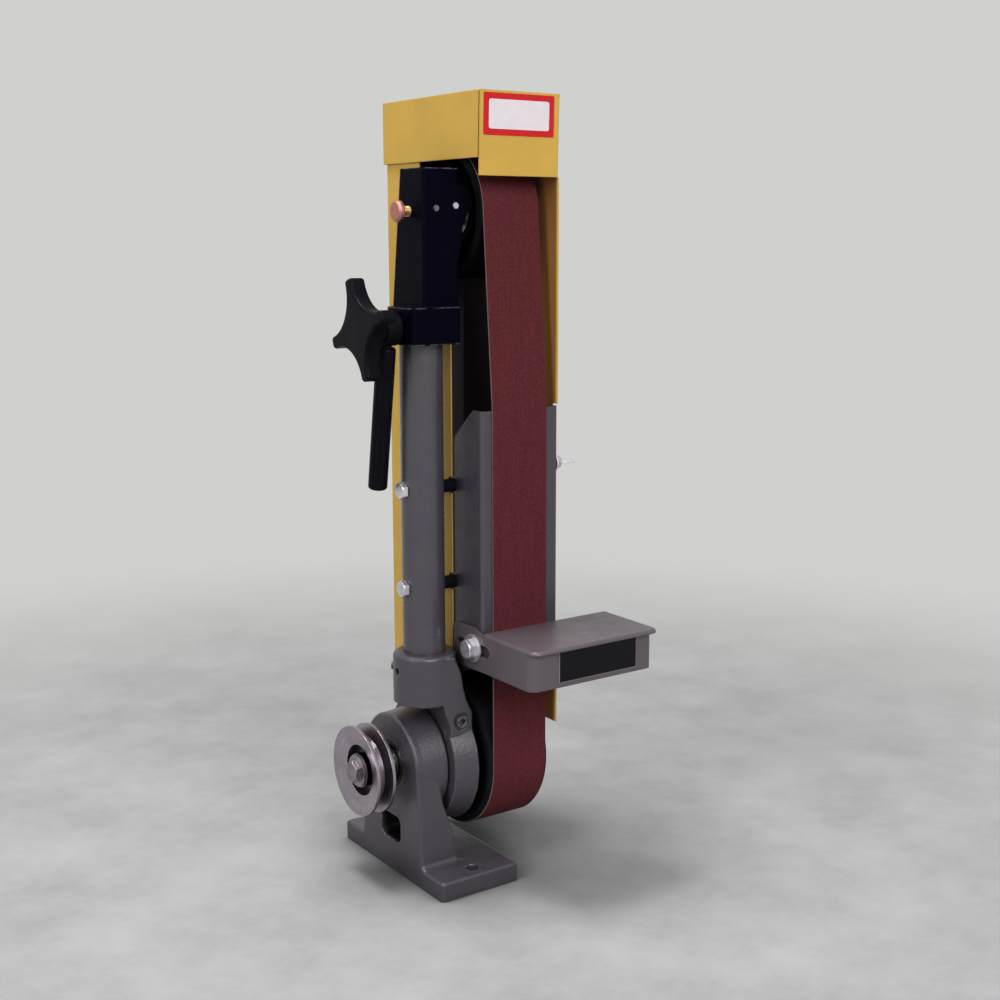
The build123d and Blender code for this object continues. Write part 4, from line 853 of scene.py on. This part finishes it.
def belt_half(bm, name):
    """Thicken a strip outwards, and give grit, cloth and cut edges their finishes."""
    bmesh.ops.remove_doubles(bm, verts=bm.verts, dist=1e-7)
    bmesh.ops.recalc_face_normals(bm, faces=bm.faces)
    middle = (belt_low + belt_high) / 2
    strip = bm.faces[:]
    if sum((face.calc_center_median() - middle).dot(face.normal) for face in strip) < 0:
        bmesh.ops.reverse_faces(bm, faces=strip)
    bmesh.ops.solidify(bm, geom=strip, thickness=-BELT_THICK)
    bmesh.ops.recalc_face_normals(bm, faces=bm.faces)
    bm.normal_update()
    for face in bm.faces:
        outward = (face.calc_center_median() - middle).dot(face.normal) > 0
        face.material_index = 2 if abs(face.normal.x) > 0.5 else (0 if outward else 1)
    smooth_faces(bm, CRISP_EDGE)
    half = new_piece(bm, name, *belt_finishes)
    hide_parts("abrasive_belt")
    return half


upper_belt = belt_half(upper_bm, "upper_belt_half")
lower_belt = belt_half(lower_bm, "lower_belt_half")
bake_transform(upper_belt)
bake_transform(lower_belt)
for half in (upper_belt, lower_belt):
    heights = [corner.co.z for corner in half.data.vertices]
    print(half.name, "z", round(min(heights), 4), "to", round(max(heights), 4))
print("solid belt z", round(belt_low.z, 4), "to", round(belt_high.z, 4))

# %% [markdown]
# ## The tracking screw
# The tracking screw is brass and has a real thread. A screw modifier could make it, but the
# spin operator does it too: each of its small turns also moves a step along the axis. The
# thread is made a few turns too long, and cut off square at both ends.

# %% Thread
def open_edges(bm):
    """Edges that have a face on one side only."""
    return [edge for edge in bm.edges if edge.is_boundary]


screw_low, screw_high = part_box("tracking_screw")
screw_at = (screw_low + screw_high) / 2
screw_r = (screw_high.z - screw_low.z) / 2
PITCH = 0.00125
ROOT = 0.82
STEPS = 28
turns = math.ceil((screw_high.x - screw_low.x) / PITCH) + 3
thread_bm = bmesh.new()
start_x = screw_low.x - 2 * PITCH
profile = [thread_bm.verts.new((start_x + part * PITCH, screw_at.y, screw_at.z + reach * screw_r))
           for part, reach in ((0.0, ROOT), (0.42, 1.0), (0.58, 1.0), (1.0, ROOT))]
flanks = [thread_bm.edges.new(pair) for pair in zip(profile, profile[1:])]
bmesh.ops.spin(
    thread_bm, geom=profile + flanks, cent=screw_at, axis=(1, 0, 0), dvec=(PITCH / STEPS, 0, 0),
    angle=2 * math.pi * turns, steps=STEPS * turns, use_merge=False)
bmesh.ops.remove_doubles(thread_bm, verts=thread_bm.verts, dist=1e-6)
for end_x, side in ((screw_low.x, -1), (screw_high.x, 1)):
    bmesh.ops.bisect_plane(
        thread_bm, geom=thread_bm.verts[:] + thread_bm.edges[:] + thread_bm.faces[:],
        plane_co=(end_x, 0, 0), plane_no=(side, 0, 0), clear_outer=True)
bmesh.ops.holes_fill(thread_bm, edges=open_edges(thread_bm), sides=0)
bmesh.ops.recalc_face_normals(thread_bm, faces=thread_bm.faces)
smooth_faces(thread_bm, CRISP_EDGE)
thread = new_piece(thread_bm, "tracking_thread", brass)
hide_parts("tracking_screw")
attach(thread, "tracker")
print("thread:", turns, "turns,", len(thread.data.polygons), "faces")

# %% [markdown]
# ## The tension spring
# Inside the tube a coil spring pushes the upper arm up. A curve with a round bevel could make
# it, but the spin operator works as it did for the thread, with a circle of wire in place of
# the profile.

# %% Spring
spring_low, spring_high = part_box("tension_spring")
spring_at = (spring_low + spring_high) / 2
WIRE_R = 0.0016
COILS = 9
CRISP_WIRE = 0.9
coil_r = (spring_high.x - spring_low.x) / 2 - WIRE_R
rise = (spring_high.z - spring_low.z - 2 * WIRE_R) / COILS
spring_bm = bmesh.new()
wire = bmesh.ops.create_circle(spring_bm, cap_ends=False, radius=WIRE_R, segments=10)["verts"]
bmesh.ops.rotate(spring_bm, verts=wire, cent=(0, 0, 0), matrix=Matrix.Rotation(math.pi / 2, 3, "X"))
bmesh.ops.translate(
    spring_bm, verts=wire, vec=(spring_at.x + coil_r, spring_at.y, spring_low.z + WIRE_R))
bmesh.ops.spin(
    spring_bm, geom=spring_bm.verts[:] + spring_bm.edges[:], cent=spring_at, axis=(0, 0, 1),
    dvec=(0, 0, rise / STEPS), angle=2 * math.pi * COILS, steps=STEPS * COILS, use_merge=False)
bmesh.ops.holes_fill(spring_bm, edges=open_edges(spring_bm), sides=0)
bmesh.ops.recalc_face_normals(spring_bm, faces=spring_bm.faces)
smooth_faces(spring_bm, CRISP_WIRE)
spring = new_piece(spring_bm, "coil_spring", ground_steel)
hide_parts("tension_spring")
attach(spring, "arm")
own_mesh(spring)

# %% [markdown]
# ## Label and plate
# The cap has a printed label, red round a blank pale panel, and the table's skirt a black
# plate with a thin pale line round it. Both are thin sheets with round corners. One face
# could be inset for the borders, but an inset is wider than the corner's radius and folds
# over there, so each field is a thin box of its own, and the inner one stands a hair proud.

# %% Thin sheets
SCUFF = (0.20, 0.18, 0.17)
INK_CLOUDS, SCUFF_MARKS, SHEET_GRAIN = 160.0, 420.0, 1800.0


def thin_sheet(bm, size, corner, turn, at, field):
    """Add a thin box with four round corners, turned and put in its place."""
    old_verts, old_edges, old_faces = bm.verts[:], bm.edges[:], bm.faces[:]
    bmesh.ops.create_cube(bm, size=1.0, matrix=Matrix.Diagonal((*size, 1.0)))
    through = [edge for edge in bm.edges
               if edge not in old_edges and abs(edge.verts[0].co.y - edge.verts[1].co.y) > size[1] / 2]
    bmesh.ops.bevel(bm, geom=through, offset=corner, segments=5, profile=0.5, affect="EDGES", material=-1)
    made = [vert for vert in bm.verts if vert not in old_verts]
    bmesh.ops.rotate(bm, verts=made, cent=(0, 0, 0), matrix=Matrix.Rotation(turn, 3, "X"))
    bmesh.ops.translate(bm, verts=made, vec=at)
    for face in bm.faces:
        if face not in old_faces:
            face.material_index = field
    print("sheet", [round(side * 1000, 1) for side in size], "mm,", len(made), "corners")


def printed(name, colour, roughness):
    """Printed or lacquered sheet: slightly uneven ink, a few scuffs."""
    finish, tree, shader, spot = new_finish(name, roughness)
    shader.inputs["Specular IOR Level"].default_value = 0.12
    cloud = spread(tree, grain(tree, spot, INK_CLOUDS, 5.0, 0.65), 0.3, 0.72)
    ink = mixed(tree, cloud, colour, tuple(part * 0.92 for part in colour))
    marks = spread(tree, grain(tree, spot, SCUFF_MARKS, 6.0, 0.75), 0.66, 0.74)
    scuffed = combine(tree, "MULTIPLY", marks, 0.12)
    tree.links.new(mixed(tree, scuffed, ink, SCUFF), shader.inputs["Base Color"])
    bump = tree.nodes.new("ShaderNodeBump")
    bump.inputs["Distance"].default_value = 0.00003
    tree.links.new(grain(tree, spot, SHEET_GRAIN, 2.0, 0.5), bump.inputs["Height"])
    tree.links.new(bump.outputs["Normal"], shader.inputs["Normal"])
    return finish


red_ink = printed("red_label_ink", colour=(0.62, 0.022, 0.026), roughness=0.38)
pale_ink = printed("pale_label_panel", colour=(0.82, 0.75, 0.78), roughness=0.42)
black_lacquer = printed("black_plate_lacquer", colour=(0.0055, 0.0045, 0.0070), roughness=0.36)
pale_line = printed("pale_plate_line", colour=(0.30, 0.28, 0.30), roughness=0.40)
print("label and plate finishes ready")

# %% Label on the cap and plate on the table
label_low, label_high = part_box("guard_label")
LABEL_THICK = 0.0003
LABEL_CORNER, PANEL_CORNER = 0.0012, 0.0018
PANEL_LESS_X, PANEL_LESS_Z = 0.0094, 0.0090
PROUD = Vector((0, 0.00012, 0))
label_at = (label_low + label_high) / 2
label_size = label_high - label_low
label_lean = math.atan2(label_size.y - LABEL_THICK, label_size.z)
label_bm = bmesh.new()
panel_size = (label_size.x - PANEL_LESS_X, LABEL_THICK, label_size.z - PANEL_LESS_Z)
thin_sheet(label_bm, (label_size.x, LABEL_THICK, label_size.z), LABEL_CORNER, label_lean, label_at, field=0)
thin_sheet(label_bm, panel_size, PANEL_CORNER, label_lean, label_at - PROUD, field=1)
label = new_piece(label_bm, "cap_label", red_ink, pale_ink)
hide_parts("guard_label")
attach(label, "arm")

PLATE_CORNER, FIELD_CORNER = 0.0008, 0.0006
PLATE_LINE = Vector((0.0008, 0, 0.0008))
plate_low, plate_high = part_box("table_plate")
plate_at = (plate_low + plate_high) / 2
plate_size = plate_high - plate_low
plate_bm = bmesh.new()
thin_sheet(plate_bm, plate_size, PLATE_CORNER, 0.0, plate_at, field=0)
thin_sheet(plate_bm, plate_size - PLATE_LINE, FIELD_CORNER, 0.0, plate_at - PROUD, field=1)
plate = new_piece(plate_bm, "blank_table_plate", pale_line, black_lacquer)
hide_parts("table_plate")
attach(plate, "table")
print("label and plate:", len(label.data.polygons), "and", len(plate.data.polygons), "faces")

# %% [markdown]
# ## The last step
# At the end the view layer is updated.

# %% Update the view layer
bpy.context.view_layer.update()
